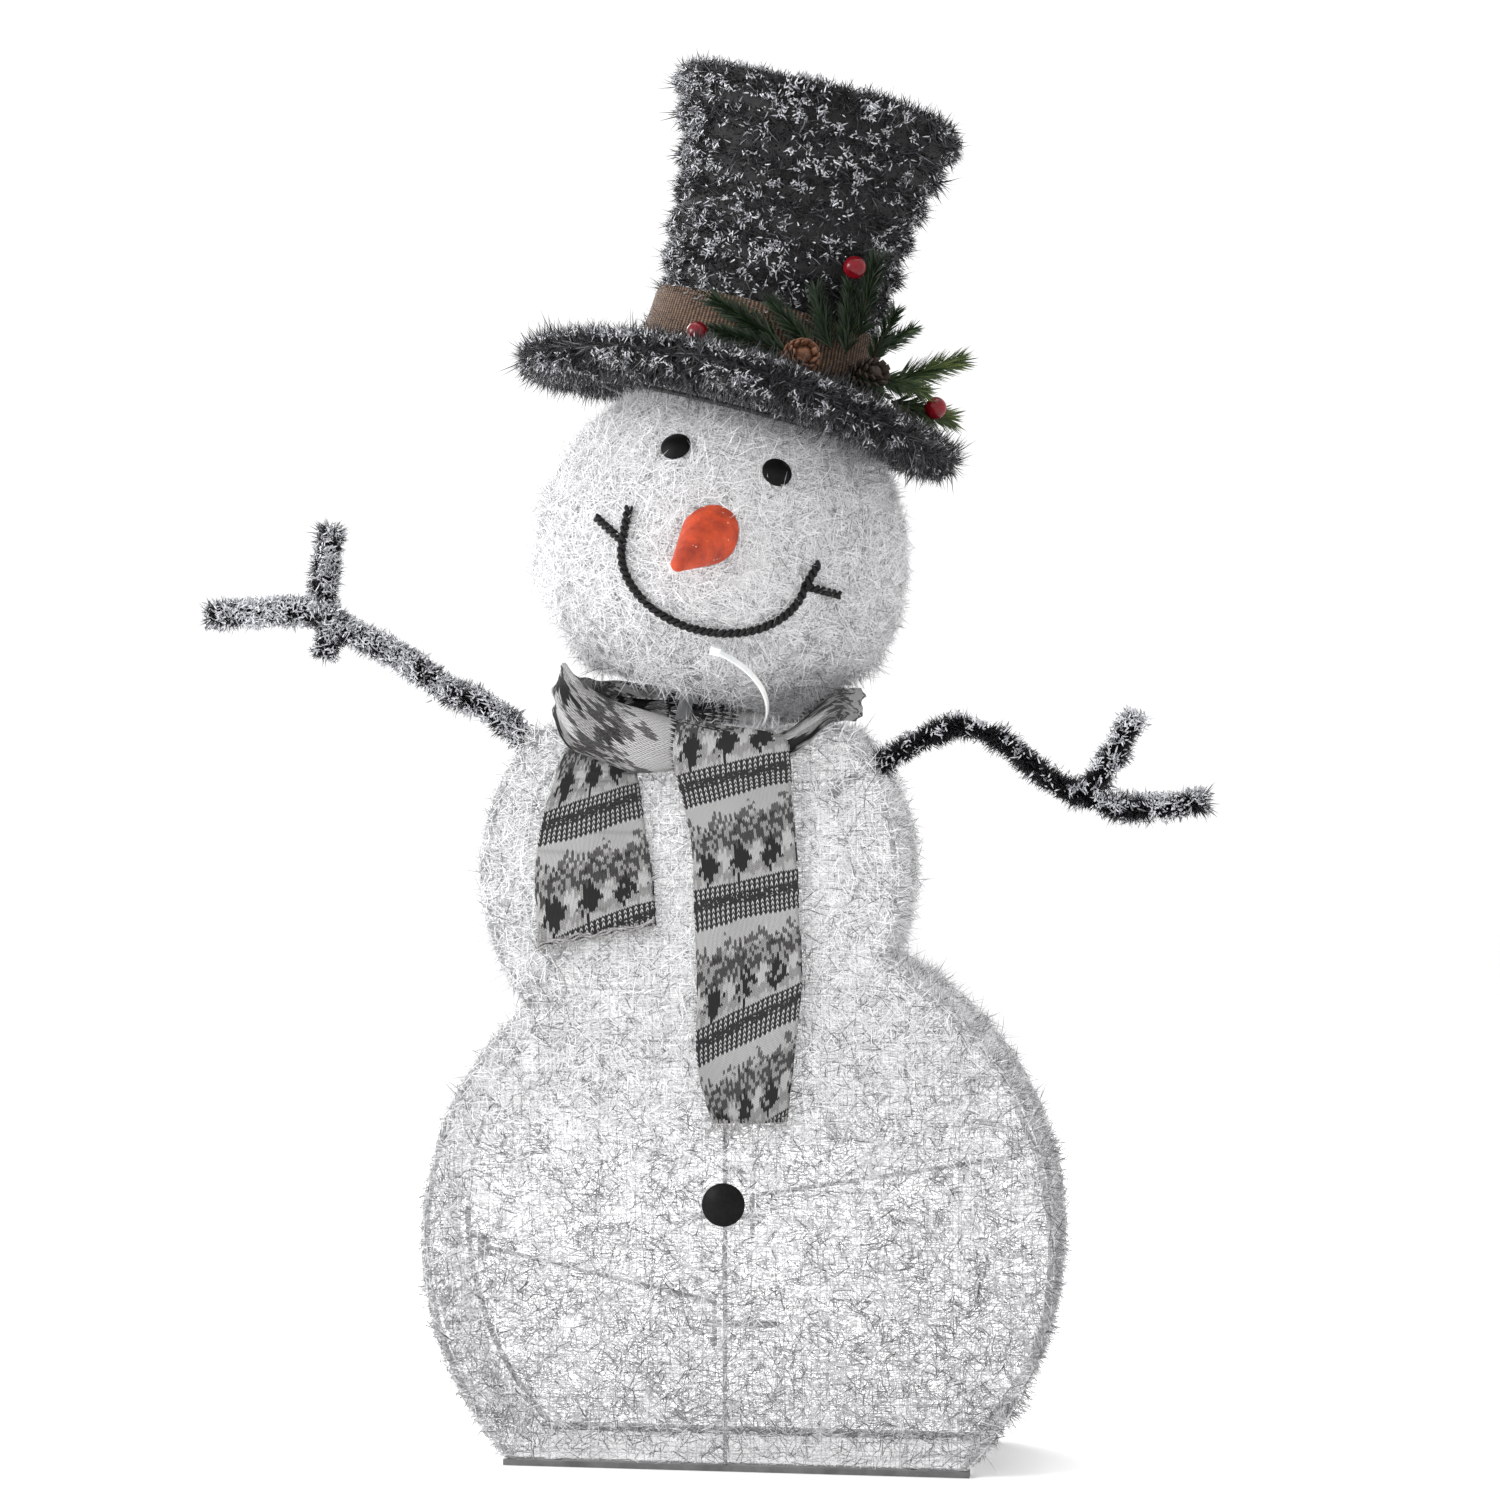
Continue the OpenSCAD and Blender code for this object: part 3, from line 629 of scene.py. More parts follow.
def hat_rows(root):
    """The winding of the crown: strips stand on each turn and lie low between turns."""
    spot = in_hat(root)
    turn = spot[:, 2] / 0.030 + 0.10 * np.sin(np.arctan2(spot[:, 1], spot[:, 0]) * 3)
    return 0.32 + 0.68 * (0.5 + 0.5 * np.cos(turn * math.tau)) ** 0.7 + 0.20 * patchy(root, 20, 3)


def hat_frost(root):
    """More frosting to the left, low on the crown and round its top edge."""
    spot = in_hat(root)
    left = np.clip(0.5 - spot[:, 0] / 0.20, 0, 1)
    low = np.clip((0.30 - spot[:, 2]) / 0.14, 0, 1)
    top = np.clip((spot[:, 2] - 0.375) / 0.02, 0, 1)
    return 0.10 + 0.40 * left + 0.28 * low + 0.15 * top


def brim_frost(root):
    spot = in_hat(root)
    upper = np.clip((spot[:, 2] - 0.14) / 0.012, 0, 1)
    return 0.36 + 0.18 * np.clip(-spot[:, 0] / 0.15, -0.5, 1) + 0.20 * upper


crown_points = [((r - 7) * MM, u * MM) for r, u in crown_shape]
crown_points = crown_points[:-1] + [(0.1205, hat_top - 0.009), (0.0002, hat_top - 0.009)]
crown_base = spun("hat_crown_mesh", crown_points, hat_mesh, hat_lean)
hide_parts("hat_crown")
crown_pile = tinsel_pile("hat_crown_tinsel", crown_base, 62000, 0.0115, 11, rows=hat_rows)
crown_frost = frosting("hat_crown_frost", crown_base, 90000, 0.009, 13, hat_frost, hat_rows)

bm = bmesh.new()
rings = []
for i in range(96):
    a = math.tau * i / 96
    slope = -brim_wave * math.cos(2 * a) / (brim_out - brim_in)
    ring = []
    for k in range(16):
        t = math.tau * k / 16
        r = (brim_in + brim_out) / 2 + 0.033 * math.cos(t)
        u = brim_u + slope * (r - brim_in) + 0.0085 * math.sin(t) * (1 - 0.3 * math.cos(t) ** 8)
        ring.append(bm.verts.new(hat_lean @ Vector((brim_x + r * math.cos(a), r * math.sin(a), u))))
    rings.append(ring)
for i, ring in enumerate(rings):
    after = rings[(i + 1) % 96]
    for k in range(16):
        bm.faces.new((ring[k], after[k], after[(k + 1) % 16], ring[(k + 1) % 16]))
bmesh.ops.recalc_face_normals(bm, faces=bm.faces)
brim_base = new_piece("hat_brim_mesh", bm, hat_mesh)
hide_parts("hat_brim")
brim_pile = tinsel_pile("hat_brim_tinsel", brim_base, 62000, 0.0135, 12, stand=0.7)
brim_frosted = frosting("hat_brim_frost", brim_base, 90000, 0.010, 14, brim_frost)
for piece in (crown_base, crown_pile, crown_frost, brim_base, brim_pile, brim_frosted):
    settle(piece, "head", "tinsel")

# ---- Burlap hat band ---------------------------------------------
# Natural jute ribbon, ribbed open weave, wrapped once round the crown and glued. The loose threads the real
# band has along both edges are not built.
burlap, tree, shader = new_material("jute_burlap", Roughness=0.9)
place = add_node(tree, "UVMap", "UV", uv_map="weave")
round_it, up_it = both(tree, place)
ribs = calc("SINE", round_it * (math.tau / 0.0036))
picks = calc("SINE", up_it * (math.tau / 0.0019))
tone = ribs * 0.20 + picks * 0.07 + grain(tree, place, 240, 5, 0.75)
colour(tree, shader, ramp(tree, tone, [(0.22, (0.012, 0.007, 0.005)), (0.5, (0.075, 0.042, 0.026)),
                                       (0.85, (0.26, 0.17, 0.11))]))
relief(tree, shader, tone, 0.9, 0.0012)

band = spun("burlap_band", [(0.1012, 0.170), (0.1018, 0.180), (0.1002, 0.192), (0.0992, 0.204),
                            (0.0978, 0.215)], burlap, Matrix.Identity(4), 128)
around = [(math.atan2(v.co.y, v.co.x), v.co.z) for v in band.data.vertices]
layer = band.data.uv_layers.new(name="weave")
for face in band.data.polygons:
    first = around[face.vertices[0]][0]
    for index in face.loop_indices:
        angle, height = around[band.data.loops[index].vertex_index]
        angle += math.tau * round((first - angle) / math.tau)
        layer.data[index].uv = (angle * 0.1, height)
for v in band.data.vertices:
    v.co = hat_lean @ (v.co * (1 + 0.004 * noise.noise(v.co * 40)))
thick = band.modifiers.new("cloth", "SOLIDIFY")
thick.thickness = 0.0012
settle(band, "head", "burlap", "hat_band")

# ---- Face --------------------------------------------------------
# Domed black buttons for the eyes and the belly, a foam cone nose flecked with
# white, and a smile of black twisted cord tacked to the netting.
grained("black_button", 300, [(0.3, 0.002), (0.7, 0.006)], (700, 3, 0.15, 0.0004), "eye_left", "eye_right",
        "belly_button", Roughness=0.5, Specular_IOR_Level=0.12)

carrot, tree, shader = new_material("orange_foam", Roughness=0.62)
place = object_place(tree)
flecks = Fac(add_node(tree, "TexVoronoi", "Distance", {"Vector": place, "Scale": 260.0}, feature="F1"))
base = ramp(tree, grain(tree, place, 60, 4), [(0.3, (0.30, 0.022, 0.004)), (0.7, (0.66, 0.070, 0.010))])
flecked = (flecks < 0.17) * (grain(tree, place, 75) > 0.58)
colour(tree, shader, add_node(tree, "Mix", "Result", {"Factor": flecked, "A": base, "B": (0.9, 0.62, 0.5, 1)},
                              data_type="RGBA"))
relief(tree, shader, grain(tree, place, 420, 5, 0.7), 0.7, 0.0014)
finish_nodes(carrot, "nose")

cord_black = grained("black_cord", 700, [(0.3, 0.002), (0.75, 0.016)], (1500, 2, 0.4, 0.0004),
                     Roughness=0.6, Specular_IOR_Level=0.25)


def tube(bm, path, radius, sides=8):
    """A round bar drawn along points, closed at both ends."""
    ring, last = None, None
    for i, p in enumerate(path):
        run = (path[min(i + 1, len(path) - 1)] - path[max(i - 1, 0)]).normalized()
        side = run.cross(Vector((0, 1, 0)) if abs(run.y) < 0.9 else Vector((1, 0, 0))).normalized()
        up = side.cross(run)
        r = radius(i / (len(path) - 1)) if callable(radius) else radius
        ring = [bm.verts.new(p + (side * math.cos(t) + up * math.sin(t)) * r)
                for t in np.linspace(0, math.tau, sides, endpoint=False)]
        if last:
            for k in range(sides):
                bm.faces.new((last[k], last[(k + 1) % sides], ring[(k + 1) % sides], ring[k]))
        else:
            bm.faces.new(ring[::-1])
        last = ring
    bm.faces.new(ring)


def twisted(bm, path, out, offset, radius, pitch):
    """Two plies laid round each other along a path, out pointing off the netting."""
    for phase in (0, math.pi):
        ply, run = [], 0.0
        for i, p in enumerate(path):
            run += (p - path[i - 1]).length if i else 0
            ahead = (path[min(i + 1, len(path) - 1)] - path[max(i - 1, 0)]).normalized()
            side = ahead.cross(out(p)).normalized()
            turn = phase + run / pitch * math.tau
            ply.append(p + (side * math.cos(turn) + out(p) * math.sin(turn)) * offset)
        tube(bm, ply, radius, 7)


bm = bmesh.new()
smile = [smile_way(t) for t in np.linspace(-math.pi / 2, math.pi / 2, 190)]
forks = [((-21, -2), (-32.5, 3)), ((-21, -2), (-22, 8)), ((35, -2), (37.5, 5.5)), ((35, -2), (47.5, -2))]
twisted(bm, smile, lambda p: p.normalized(), 0.0020, 0.0019, 0.0115)
for (a0, e0), (a1, e1) in forks:
    arm = [head_way(a0 + (a1 - a0) * t, e0 + (e1 - e0) * t, rope_r) for t in np.linspace(0, 1, 34)]
    twisted(bm, arm, lambda p: p.normalized(), 0.0020, 0.0019, 0.0115)
bmesh.ops.recalc_face_normals(bm, faces=bm.faces)
on_head(bm)
smile_cord = new_piece("smile_cord", bm, cord_black)
settle(smile_cord, "head", "black_rope", "mouth")

# ---- Cable tie ---------------------------------------------------
# A white nylon tie through the netting at the chin: keeps the CAD lock and strap.
grained("white_nylon", 150, [(0.3, (0.78, 0.79, 0.79)), (0.7, (0.9, 0.9, 0.89))], (900, 2, 0.1, 0.0003),
        "cable_tie", Roughness=0.4, Subsurface_Weight=0.2)

# ---- Garland arms ------------------------------------------------
# Charcoal tinsel twisted into a bent wire, standing straight out all round it.
# The left arm is frosted all over, the right one only at its twig and hand.
arm_y = 0.025
right_arm = [[(119.5, 589), (163, 614), (188, 620), (221, 609), (254, 581), (287, 563), (320, 553),
              (352, 553), (386, 558)], [(287, 563), (303, 580), (318, 605), (331, 628)]]
left_arm = [[(-183, 610), (-219, 638), (-253, 652), (-288, 678), (-336, 701), (-375, 719), (-457, 716)],
            [(-350, 708), (-360, 729), (-353, 786)], [(-350, 708), (-358, 684)]]


def between_points(a, b, c, d, t):
    """The smooth curve through a, b, c and d, at t of the way from b to c."""
    return 0.5 * (2 * b + (c - a) * t + (2 * a - 5 * b + 4 * c - d) * t * t
                  + (3 * b - a - 3 * c + d) * t ** 3)


def spline(points, steps):
    """A smooth path through points, as Vectors."""
    p = [Vector(q) for q in points]
    p = [p[0] * 2 - p[1]] + p + [p[-1] * 2 - p[-2]]
    path = []
    for a, b, c, d in zip(p, p[1:], p[2:], p[3:]):
        path += [between_points(a, b, c, d, i / steps) for i in range(steps)]
    return path + [p[-2]]


def garland(name, limbs, seed, density, reach, flake, amount):
    """Strips all round each limb's wire; with flake set, only the frosting at their ends."""
    rng = np.random.default_rng(seed)
    roots, ways = [], []
    for limb in limbs:
        path = np.array([q for q in spline([(x * MM, arm_y, z * MM) for x, z in limb], 12)])
        gap = np.linalg.norm(np.diff(path, axis=0), axis=1)
        count = int(gap.sum() * density)
        s = np.sort(rng.random(count)) * gap.sum()
        along = np.concatenate([[0], np.cumsum(gap)])
        spot = np.stack([np.interp(s, along, path[:, k]) for k in range(3)], 1)
        run = unit(np.stack([np.interp(s, along, np.gradient(path[:, k])) for k in range(3)], 1))
        round_it = rng.normal(size=(count, 3))
        round_it = unit(round_it - run * np.sum(round_it * run, 1, keepdims=True))
        near_end = np.clip((s - gap.sum() + 0.012) / 0.012, 0, 1)[:, None]
        way = unit(round_it + run * (0.35 * rng.normal(size=(count, 1)) + 0.9 * near_end))
        roots.append(spot + round_it * 0.0020 + way * (reach * flake * (0.6 + 0.5 * rng.random((count, 1)))))
        ways.append(way)
    root, way = np.concatenate(roots), np.concatenate(ways)
    count = len(root)
    bushy = 0.75 + 0.5 * patchy(root, 60, seed + 4)
    if not flake:
        shade = np.clip(0.10 + 0.38 * rng.random(count), 0, 1)
        return strands(name, root, way, np.roll(way, 1, axis=1),
                       reach * bushy * (0.6 + 0.65 * rng.random(count)), 0.0011, 0.35, shade, tinsel, rng)
    clump = patchy(root, 90, seed) + 0.25 * way[:, 2] + 0.25 * rng.normal(size=count)
    keep = clump > 0.55 - 0.8 * amount(root)
    loose = unit(way * 0.4 + rng.normal(size=(count, 3)))
    root, loose, way = root[keep], loose[keep], way[keep]
    size, shade = (0.005 * (0.4 + rng.random(count)))[keep], (0.66 + 0.34 * rng.random(count))[keep]
    return strands(name, root, loose, way, size, 0.0013, 0.4, shade, tinsel, rng)


def right_frost(root):
    return 0.06 + 0.50 * np.clip((root[:, 0] - 0.27) / 0.05, 0, 1)


def left_frost(root):
    return 0.75 + 0.30 * np.clip((-0.36 - root[:, 0]) / 0.06, 0, 1)


for side, limbs, seed, amount in (("right", right_arm, 21, right_frost), ("left", left_arm, 22, left_frost)):
    pile = garland(f"{side}_arm_tinsel", limbs, seed, 52000, 0.0125, 0, None)
    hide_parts(f"garland_{side}")
    flakes = garland(f"{side}_arm_frost", limbs, seed + 10, 40000, 0.0105, 1, amount)
    for piece in (pile, flakes):
        settle(piece, f"{side}_arm", "tinsel")

# ---- Knitted scarf -----------------------------------------------
# Grey and white patterned jersey knit: a band round the neck and two ends that
# hang down the front, cut raw at the bottom, where the yarn frays.
stitch_w, stitch_h, repeat, knit_wide = 0.0022, 0.0020, 0.104, 0.094
knit, tree, shader = new_material("patterned_knit", Roughness=0.92)
place = add_node(tree, "UVMap", "UV", uv_map="knit")
across, along = both(tree, wobble(tree, place, 60.0, (0.0022, 0.0040)))
wale = across / stitch_w
column = calc("FLOOR", wale)
leg = abs(calc("FRACT", wale) - 0.5)
course = along / stitch_h + leg * 2.4
row = calc("FLOOR", course)
round_loop = calc("SINE", calc("FRACT", course) * math.pi)
groove = calc("SINE", leg * math.tau)
# The height of the yarn in each stitch: it gives the relief, and the colour is multiplied by it further down.
yarn = (round_loop * 0.65 + 0.35) * calc("POWER", calc("MAXIMUM", groove, 0.02), 0.6)
band_row = row % round(repeat / stitch_h)


def between(value, low, high):
    return (value > low - 0.5) * (value < high + 0.5)


def off_centre(value, pitch):
    return abs(value % pitch - pitch / 2)


dark_band = between(band_row, 0, 15)
dot_rows = calc("MAXIMUM", between(band_row, 0, 6), between(band_row, 11, 15))
checks = ((column + row) % 2.0 < 0.5) * (row % 2.0 < 0.5) * calc("MAXIMUM", dot_rows, grain(
    tree, place, 300) > 0.56)
jitter = Fac(add_node(tree, "TexWhiteNoise", "Value", {"W": column}, noise_dimensions="1D"))
motif_row = band_row + (jitter - 0.5) * 5.0
stitch = add_node(tree, "CombineXYZ", 0, {"X": column, "Y": calc("FLOOR", row / 2.0)})
broken = Fac(add_node(tree, "TexWhiteNoise", "Value", {"Vector": stitch}, noise_dimensions="2D"))
big, small = off_centre(column, 13), off_centre(column + 6.0, 13)
diamonds = (big * 1.5 + abs(motif_row - 24.0) < 7.5) * (broken > 0.12)
lights = small * 1.4 + abs(motif_row - 26.0) < 5.0
wave = (abs(motif_row - 39.0 - big * 0.9) < 2.2) * (broken > 0.35)
flecks = between(motif_row, 30, 39) * (broken > 0.42)
dark = dark_band - checks * dark_band
for motif, depth in ((diamonds, 0.92), (wave, 0.65), (flecks, 0.55)):
    dark = calc("MAXIMUM", dark, motif * depth)
ground = 0.86 - between(motif_row, 18, 40) * 0.20 + lights * 0.30 + checks * dark_band * 0.38
# Painted shade and painted highlight: multiplying by the yarn height darkens the gaps between stitches and
# rows and brightens the loop tops.
tone = (ground - dark * 0.74 + (grain(tree, place, 1100, 2) - 0.5) * 0.55) * (yarn * 0.95 + 0.30)
colour(tree, shader, ramp(tree, tone, [(0.0, (0.008, 0.008, 0.009)), (0.14, (0.026, 0.025, 0.026)),
                                       (0.42, (0.19, 0.185, 0.185)), (0.65, (0.46, 0.455, 0.45)),
                                       (0.90, (0.88, 0.88, 0.88))]))
relief(tree, shader, yarn, 1.0, 0.0018)


def thicken(piece, thickness):
    wall = piece.modifiers.new("knit", "SOLIDIFY")
    wall.thickness, wall.offset = thickness, -1


def knitted(name, rows, width_steps, skew, shift):
    """A hanging strip from rows of (left point, right point). Its knit map is in metres,
    with the rows aslant by skew and moved on by shift."""
    bm = bmesh.new()
    uv = {}
    grid, run = [], 0.0
    for i, (left, right) in enumerate(rows):
        if i:
            run += ((left + right) / 2 - (rows[i - 1][0] + rows[i - 1][1]) / 2).length
        line = []
        for k in range(width_steps + 1):
            t = k / width_steps
            p = left.lerp(right, t)
            p.x += 0.0010 * noise.noise(Vector((t * 3, run * 160, 3.0))) * (abs(t - 0.5) * 2) ** 4
            p.y += 0.0014 * noise.noise(p * 28) + 0.0020 * math.sin(t * 7 + run * 20) * min(1, run / 0.03)
            v = bm.verts.new(p)
            line.append(v)
            uv[v] = (t * knit_wide, -run - shift - skew(run) * (t - 0.5) * knit_wide)
        grid.append(line)
    layer = bm.loops.layers.uv.new("knit")
    for a, b in zip(grid, grid[1:]):
        for k in range(width_steps):
            face = bm.faces.new((a[k], b[k], b[k + 1], a[k + 1]))
            for loop in face.loops:
                loop[layer].uv = uv[loop.vert]
    piece = new_piece(name, bm, knit)
    if piece.data.polygons[len(piece.data.polygons) // 2].normal.y > 0:
        piece.data.flip_normals()
    thicken(piece, 0.003)
    return piece


def tail_rows(left, right, count=100):
    """Rows of a hanging end from its two edges, each a list of (x, y, z) in mm from the top."""
    a = spline([Vector(p) * MM for p in left], 14)
    b = spline([Vector(p) * MM for p in right], 14)
    return [(a[round(t * (len(a) - 1))], b[round(t * (len(b) - 1))]) for t in np.linspace(0, 1, count)]


long_tail = knitted("scarf_long_end", tail_rows(
    [(-43, -31, 627), (-45, -40, 612), (-46, -39, 590), (-42, -20, 560), (-35, -13, 520), (-33, -12.5, 480),
     (-30, -12.5, 400), (-30, -12.5, 340), (-18, -12.5, 290)],
    [(49, -24, 614), (50, -35, 603), (51, -33, 585), (50, -20, 560), (53, -13, 515), (55, -12.5, 470),
     (58, -12.5, 410), (52, -12.5, 350), (45, -12.5, 292)]), 26,
    lambda run: 0.30 + 0.5 * max(0, run - 0.20), 0.042)
short_tail = knitted("scarf_short_end", tail_rows(
    [(-140, -13, 604), (-150, -12.5, 580), (-161, -12.5, 545), (-168, -12.5, 498), (-165, -12.5, 436)],
    [(-86, -13, 602), (-80, -12.5, 575), (-76, -12.5, 545), (-68, -12.5, 495), (-65, -12.5, 455)], 70), 22,
    lambda run: 0.30, 0.035)
for piece, node, flat in ((long_tail, "scarf_long_tail", (0.092, 0.36)),
                          (short_tail, "scarf_short_tail", (0.092, 0.16))):
    settle(piece, "front_frame", "knit", node)

collar_at = [(-153, 70, 645, -20, 20), (-153, 25, 650, -14, 21), (-147, -6, 650, -9, 24),
             (-131, -23, 631, -4, 31), (-86, -28, 611, 4, 27), (-43, -30, 605, 4, 22), (-5, -30, 600, 4, 18),
             (25, -28, 598, 4, 15), (48, -25, 606, 4, 12), (66, -20, 620, 6, 12), (82, -4, 636, 8, 12),
             (95, 60, 640, 8, 14), (88, 115, 640, 8, 14), (60, 168, 641, 8, 16), (0, 198, 641, 4, 18),
             (-72, 198, 641, 0, 18), (-130, 160, 644, -10, 18)]


def closed_path(points, steps):
    """A smooth loop through points of any length."""
    p = np.array(points, float)
    path = []
    for i in range(len(p)):
        a, b, c, d = (p[(i + k) % len(p)] for k in (-1, 0, 1, 2))
        path += [between_points(a, b, c, d, t) for t in np.linspace(0, 1, steps, endpoint=False)]
    return np.array(path)


bm = bmesh.new()
layer = bm.loops.layers.uv.new("knit")
loop_path = closed_path(collar_at, 14)
rings, run = [], 0.0
around_steps = 30
for i, (x, y, z, lean, half) in enumerate(loop_path):
    ahead = loop_path[(i + 1) % len(loop_path)][:2] - loop_path[i][:2]
    out = Vector((ahead[1], -ahead[0], 0)).normalized()
    lean = math.radians(lean)
    up = out * math.sin(lean) + Vector((0, 0, math.cos(lean)))
    side = out * math.cos(lean) - Vector((0, 0, math.sin(lean)))
    centre = Vector((x, y, z)) * MM
    wide = half * MM * (1 + 0.05 * math.sin(run * 90))
    ring = []
    for k in range(around_steps + 1):
        t = (k / around_steps * 0.9 + 0.55) * math.tau
        crease = 0.0022 * math.sin(5 * t + run * 26) + 0.0012 * math.sin(9 * t - run * 55)
        p = centre + side * (0.0038 + crease) * math.cos(t) + up * wide * math.sin(t)
        ring.append((bm.verts.new(p), (k / around_steps * knit_wide + run * 0.2, run * 0.5 + 0.009)))
    rings.append(ring)
    run += np.linalg.norm(ahead) * MM
for i, ring in enumerate(rings):
    after = rings[(i + 1) % len(rings)]
    more = (run * 0.2, run * 0.5) if i == len(rings) - 1 else (0.0, 0.0)
    for k in range(around_steps):
        face = bm.faces.new((ring[k][0], after[k][0], after[k + 1][0], ring[k + 1][0]))
        for corner, uv, add in zip(face.loops, (ring[k][1], after[k][1], after[k + 1][1], ring[k + 1][1]),
                                   ((0, 0), more, more, (0, 0))):
            corner[layer].uv = (uv[0] + add[0], uv[1] + add[1])
bmesh.ops.recalc_face_normals(bm, faces=bm.faces)
collar = new_piece("scarf_band", bm, knit)
thicken(collar, 0.0018)
settle(collar, "front_frame", "knit", "scarf_collar")

# ---- Frayed yarn -------------------------------------------------
# Pale yarn ends that have run out of the scarf's cut edges, with one long loose
# end at the short tail's corner.
yarn_white = grained("loose_yarn", 400, [(0.3, (0.13, 0.125, 0.125)), (0.7, (0.42, 0.415, 0.41))],
                     (1600, 2, 0.5, 0.0003), Roughness=0.9)
rng = np.random.default_rng(41)
bm = bmesh.new()
for start, end, count, reach in (((-165, 436), (-65, 455), 60, 9), ((-18, 289), (6, 288), 26, 11),
                                 ((-18, 289), (46, 292), 18, 4)):
    for i in range(count):
        t = rng.random()
        p = Vector((start[0] + (end[0] - start[0]) * t, -14.5, start[1] + (end[1] - start[1]) * t))
        aim = Vector((rng.normal() * 0.9, 0.15 * rng.normal() - 0.1, -1)).normalized()
        aim = aim * reach * (0.4 + 0.7 * rng.random())
        hook = Vector((rng.normal() * 3, 0, rng.normal() * 2))
        tube(bm, spline([(p + Vector((0, 0, 5))) * MM, p * MM, (p + aim * 0.6 + hook * 0.4) * MM,
                         (p + aim + hook) * MM], 4), 0.00035, 5)
for start, end in (((-165, 437), (-66, 456)), ((-165, 439), (-66, 458)), ((-164, 434), (-66, 453))):
    roll = [Vector((start[0] + (end[0] - start[0]) * t, -15.5 + rng.normal() * 0.5,
                    start[1] + (end[1] - start[1]) * t + 1.5 * math.sin(t * 21) + rng.normal() * 0.7)) * MM
            for t in np.linspace(0, 1, 26)]
    tube(bm, spline(roll, 3), 0.0009, 6)
loose_end = ((-156, -15, 436), (-151, -13, 424), (-144, -12, 412), (-141, -12, 400), (-145, -12, 393))
tube(bm, spline([Vector(p) * MM for p in loose_end], 8), 0.0006, 6)
bmesh.ops.recalc_face_normals(bm, faces=bm.faces)
fray = new_piece("scarf_fray", bm, yarn_white)
settle(fray, "front_frame", "knit")

# ---- Pine sprigs, cones and berries ------------------------------
# Moulded green needles on wired stems, two real pine cones and three glossy
# berries, wired to the front of the hat band.
needle_green, tree, shader = new_material("pine_needle", Roughness=0.5)
frost_and_painted_light = add_node(tree, "Attribute", "Fac", attribute_name="frost_and_painted_light")
colour(tree, shader, ramp(tree, frost_and_painted_light, [(0.0, (0.004, 0.012, 0.005)), (0.55, (0.024, 0.050, 0.016)),
                                        (1.0, (0.13, 0.17, 0.045))]))
sprigs = [((30, -105, 186), (-28, -108, 206), 1.0), ((88, -76, 206), (88, -72, 270), 1.0),
          ((124, -40, 182), (169, -25, 211), 1.15), ((108, -56, 204), (126, -38, 226), 0.8),
          ((124, -34, 164), (172, -12, 163), 1.1), ((60, -104, 185), (20, -106, 214), 0.9),
          ((72, -94, 190), (50, -98, 232), 0.9), ((84, -84, 190), (74, -84, 244), 0.9),
          ((40, -112, 178), (-22, -114, 182), 0.8), ((112, -56, 180), (150, -46, 178), 0.9),
          ((104, -66, 190), (112, -58, 236), 0.8), ((96, -80, 178), (120, -72, 164), 0.7)]
rng = np.random.default_rng(31)
roots, ways, lengths, stems = [], [], [], bmesh.new()
for start, end, size in sprigs:
    start, end = np.array(start) * MM, np.array(end) * MM
    tube(stems, [hat_lean @ Vector(start + (end - start) * t) for t in (0, 0.35, 0.7, 1)],
         lambda t: 0.0014 - 0.0008 * t, 6)
    run = (end - start) / np.linalg.norm(end - start)
    count = int(np.linalg.norm(end - start) * 5200) + 60
    t = rng.random((count, 1))
    round_it = rng.normal(size=(count, 3))
    round_it = unit(round_it - run * (round_it @ run)[:, None])
    roots.append(start + (end - start) * t)
    ways.append(unit(run * (1.1 + 0.5 * t) + round_it))
    lengths.append(0.023 * size * (0.75 + 0.4 * rng.random(count)) * (1 - 0.25 * t[:, 0]))
root, way, length = np.concatenate(roots), np.concatenate(ways), np.concatenate(lengths)
# Painted light: needles to the right are made paler, as if lit. The rest of their spread in tone is random.
painted_sunlight = np.clip((root[:, 0] - 0.10) / 0.05, 0, 1)
needles = strands("pine_needles", root, way, np.roll(way, 1, axis=1), length, 0.0013, 0.05,
                  np.clip(0.5 * rng.random(len(root)) + 0.5 * painted_sunlight, 0, 1), needle_green, rng)
for v in needles.data.vertices:
    v.co = hat_lean @ v.co
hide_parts("pine_sprigs")
stem_brown = grained("sprig_stem", 500, [(0.3, (0.02, 0.013, 0.008)), (0.7, (0.06, 0.035, 0.02))],
                     (900, 3, 0.4, 0.0004), Roughness=0.8)
bmesh.ops.recalc_face_normals(stems, faces=stems.faces)
sprig_stems = new_piece("sprig_stems", stems, stem_brown)
for piece in (needles, sprig_stems):
    settle(piece, "head", "pine")

grained("red_berry", 120, [(0.3, (0.085, 0.001, 0.004)), (0.7, (0.20, 0.004, 0.010))], (260, 2, 0.15, 0.0008),
        "berries", Roughness=0.2, Specular_IOR_Level=0.3)


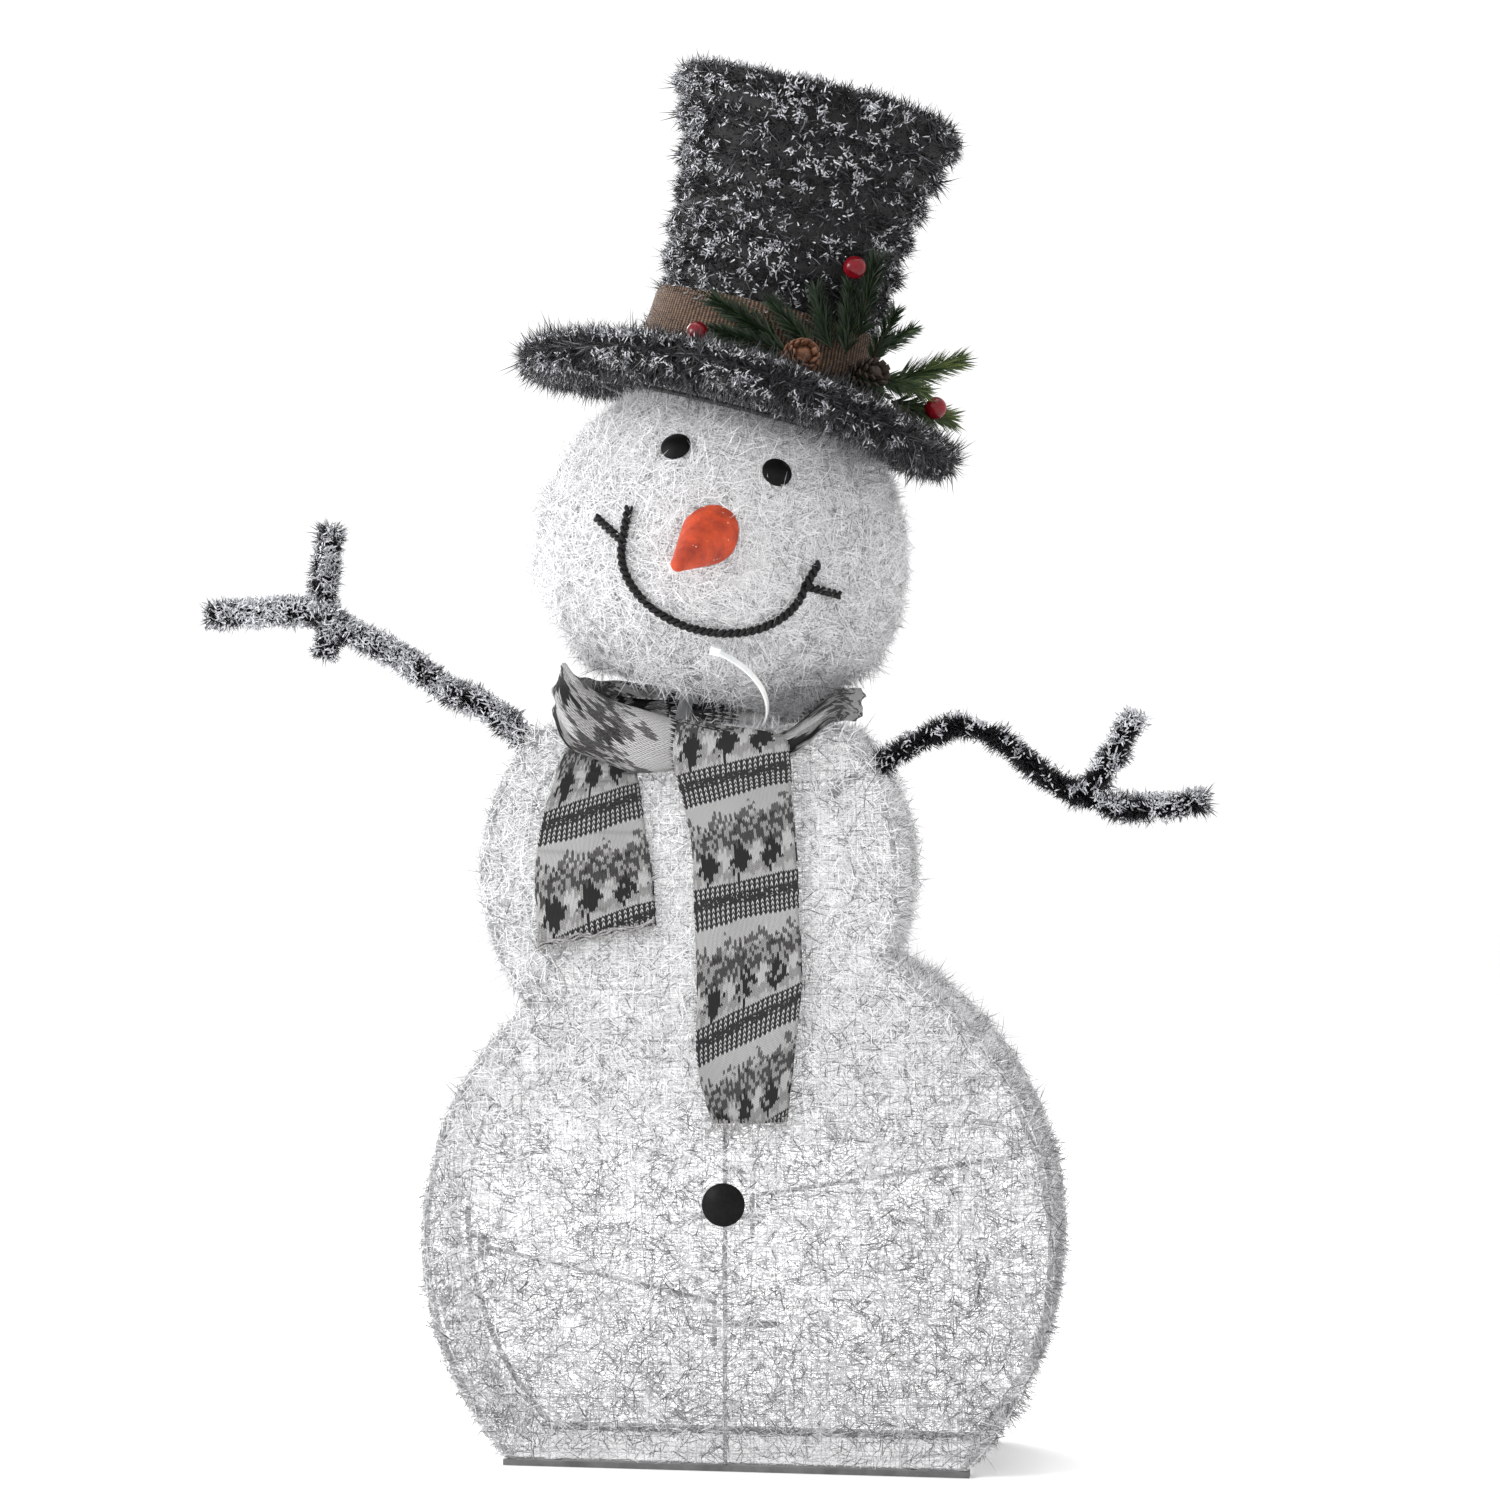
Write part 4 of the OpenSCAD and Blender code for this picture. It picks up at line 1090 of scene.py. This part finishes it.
def pine_cone(name, node, slot, at, lean, wood, dark, light):
    """Scales set round a core by the golden angle, each a small cupped wedge."""
    bm = bmesh.new()
    bmesh.ops.create_uvsphere(bm, u_segments=16, v_segments=12, radius=0.010)
    bmesh.ops.scale(bm, vec=(1, 1, 1.6), verts=bm.verts)
    scales = 64
    for i in range(scales):
        t = i / (scales - 1)
        height = -0.017 + 0.033 * t
        swell = math.sqrt(max(0.02, 1 - ((height + 0.002) / 0.0195) ** 2))
        made = bmesh.ops.create_cube(bm, size=1.0)["verts"]
        bmesh.ops.scale(bm, vec=(0.0078, 0.0064, 0.0012), verts=made)
        for v in made:
            if v.co.x > 0:
                v.co.y *= 0.75
                v.co.z = v.co.z * 1.5 + 0.0022
        spot = (Matrix.Rotation(i * 2.39996, 4, "Z")
                @ Matrix.Translation((0.0052 + 0.0082 * swell, 0, height))
                @ Matrix.Rotation(math.radians(-12 - 48 * t), 4, "Y"))
        bmesh.ops.transform(bm, matrix=spot, verts=made)
    bmesh.ops.recalc_face_normals(bm, faces=bm.faces)
    turn = Matrix.Translation(Vector(at) * MM)
    for axis, degrees in zip("ZYX", reversed(lean)):
        turn = turn @ Matrix.Rotation(math.radians(degrees), 4, axis)
    bmesh.ops.transform(bm, matrix=hat_lean @ turn, verts=bm.verts)
    piece = new_piece(name, bm, grained(wood, 320, [(0.3, dark), (0.75, light)], (700, 4, 0.5, 0.0006),
                                        detail=4, Roughness=0.7))
    edge = piece.modifiers.new("soft_edges", "BEVEL")
    edge.width, edge.segments = 0.0003, 1
    settle(piece, "head", slot, node)


pine_cone("pine_cone_light", "cone_light", "cone_wood", (52, -115, 176), (75, 0, 20),
          "light_cone_wood", (0.045, 0.015, 0.007), (0.25, 0.105, 0.05))
pine_cone("pine_cone_dark", "cone_dark", "cone_wood_dark", (103, -69, 176), (60, 0, 50),
          "dark_cone_wood", (0.010, 0.006, 0.004), (0.05, 0.028, 0.016))

# ---- Studio ------------------------------------------------------
# A pale floor, a white surround, and large soft lights from the left, from above
# and from behind.
bm = bmesh.new()
bmesh.ops.create_grid(bm, x_segments=1, y_segments=1, size=9.0)
floor_paint, tree, shader = new_material("pale_floor", Roughness=0.9)
place = object_place(tree)
colour(tree, shader, ramp(tree, grain(tree, place, 3), [(0.3, 0.92), (0.7, 0.94)]))
floor = new_piece("studio_floor", bm, floor_paint)

world = bpy.data.worlds.new("studio")
bpy.context.scene.world = world
world.use_nodes = True
world.node_tree.nodes["Background"].inputs["Color"].default_value = (1, 1, 1, 1)
world.node_tree.nodes["Background"].inputs["Strength"].default_value = 1.08
bpy.context.scene.view_settings.view_transform = "Standard"
for name, spot, aim, power, size in (
        ("key_light", (-2.4, -1.4, 1.8), (0, 0.1, 0.7), 62, 1.2),
        ("top_light", (0.2, 0.5, 2.8), (0, 0.1, 0.6), 26, 1.8),
        ("back_light", (-1.4, 2.0, 1.6), (0, 0.1, 0.6), 60, 1.6)):
    lamp = bpy.data.objects.new(name, bpy.data.lights.new(name, "AREA"))
    bpy.context.scene.collection.objects.link(lamp)
    lamp.data.energy, lamp.data.size = power, size
    lamp.location = spot
    lamp.rotation_euler = (Vector(aim) - Vector(spot)).to_track_quat("-Z", "Y").to_euler()
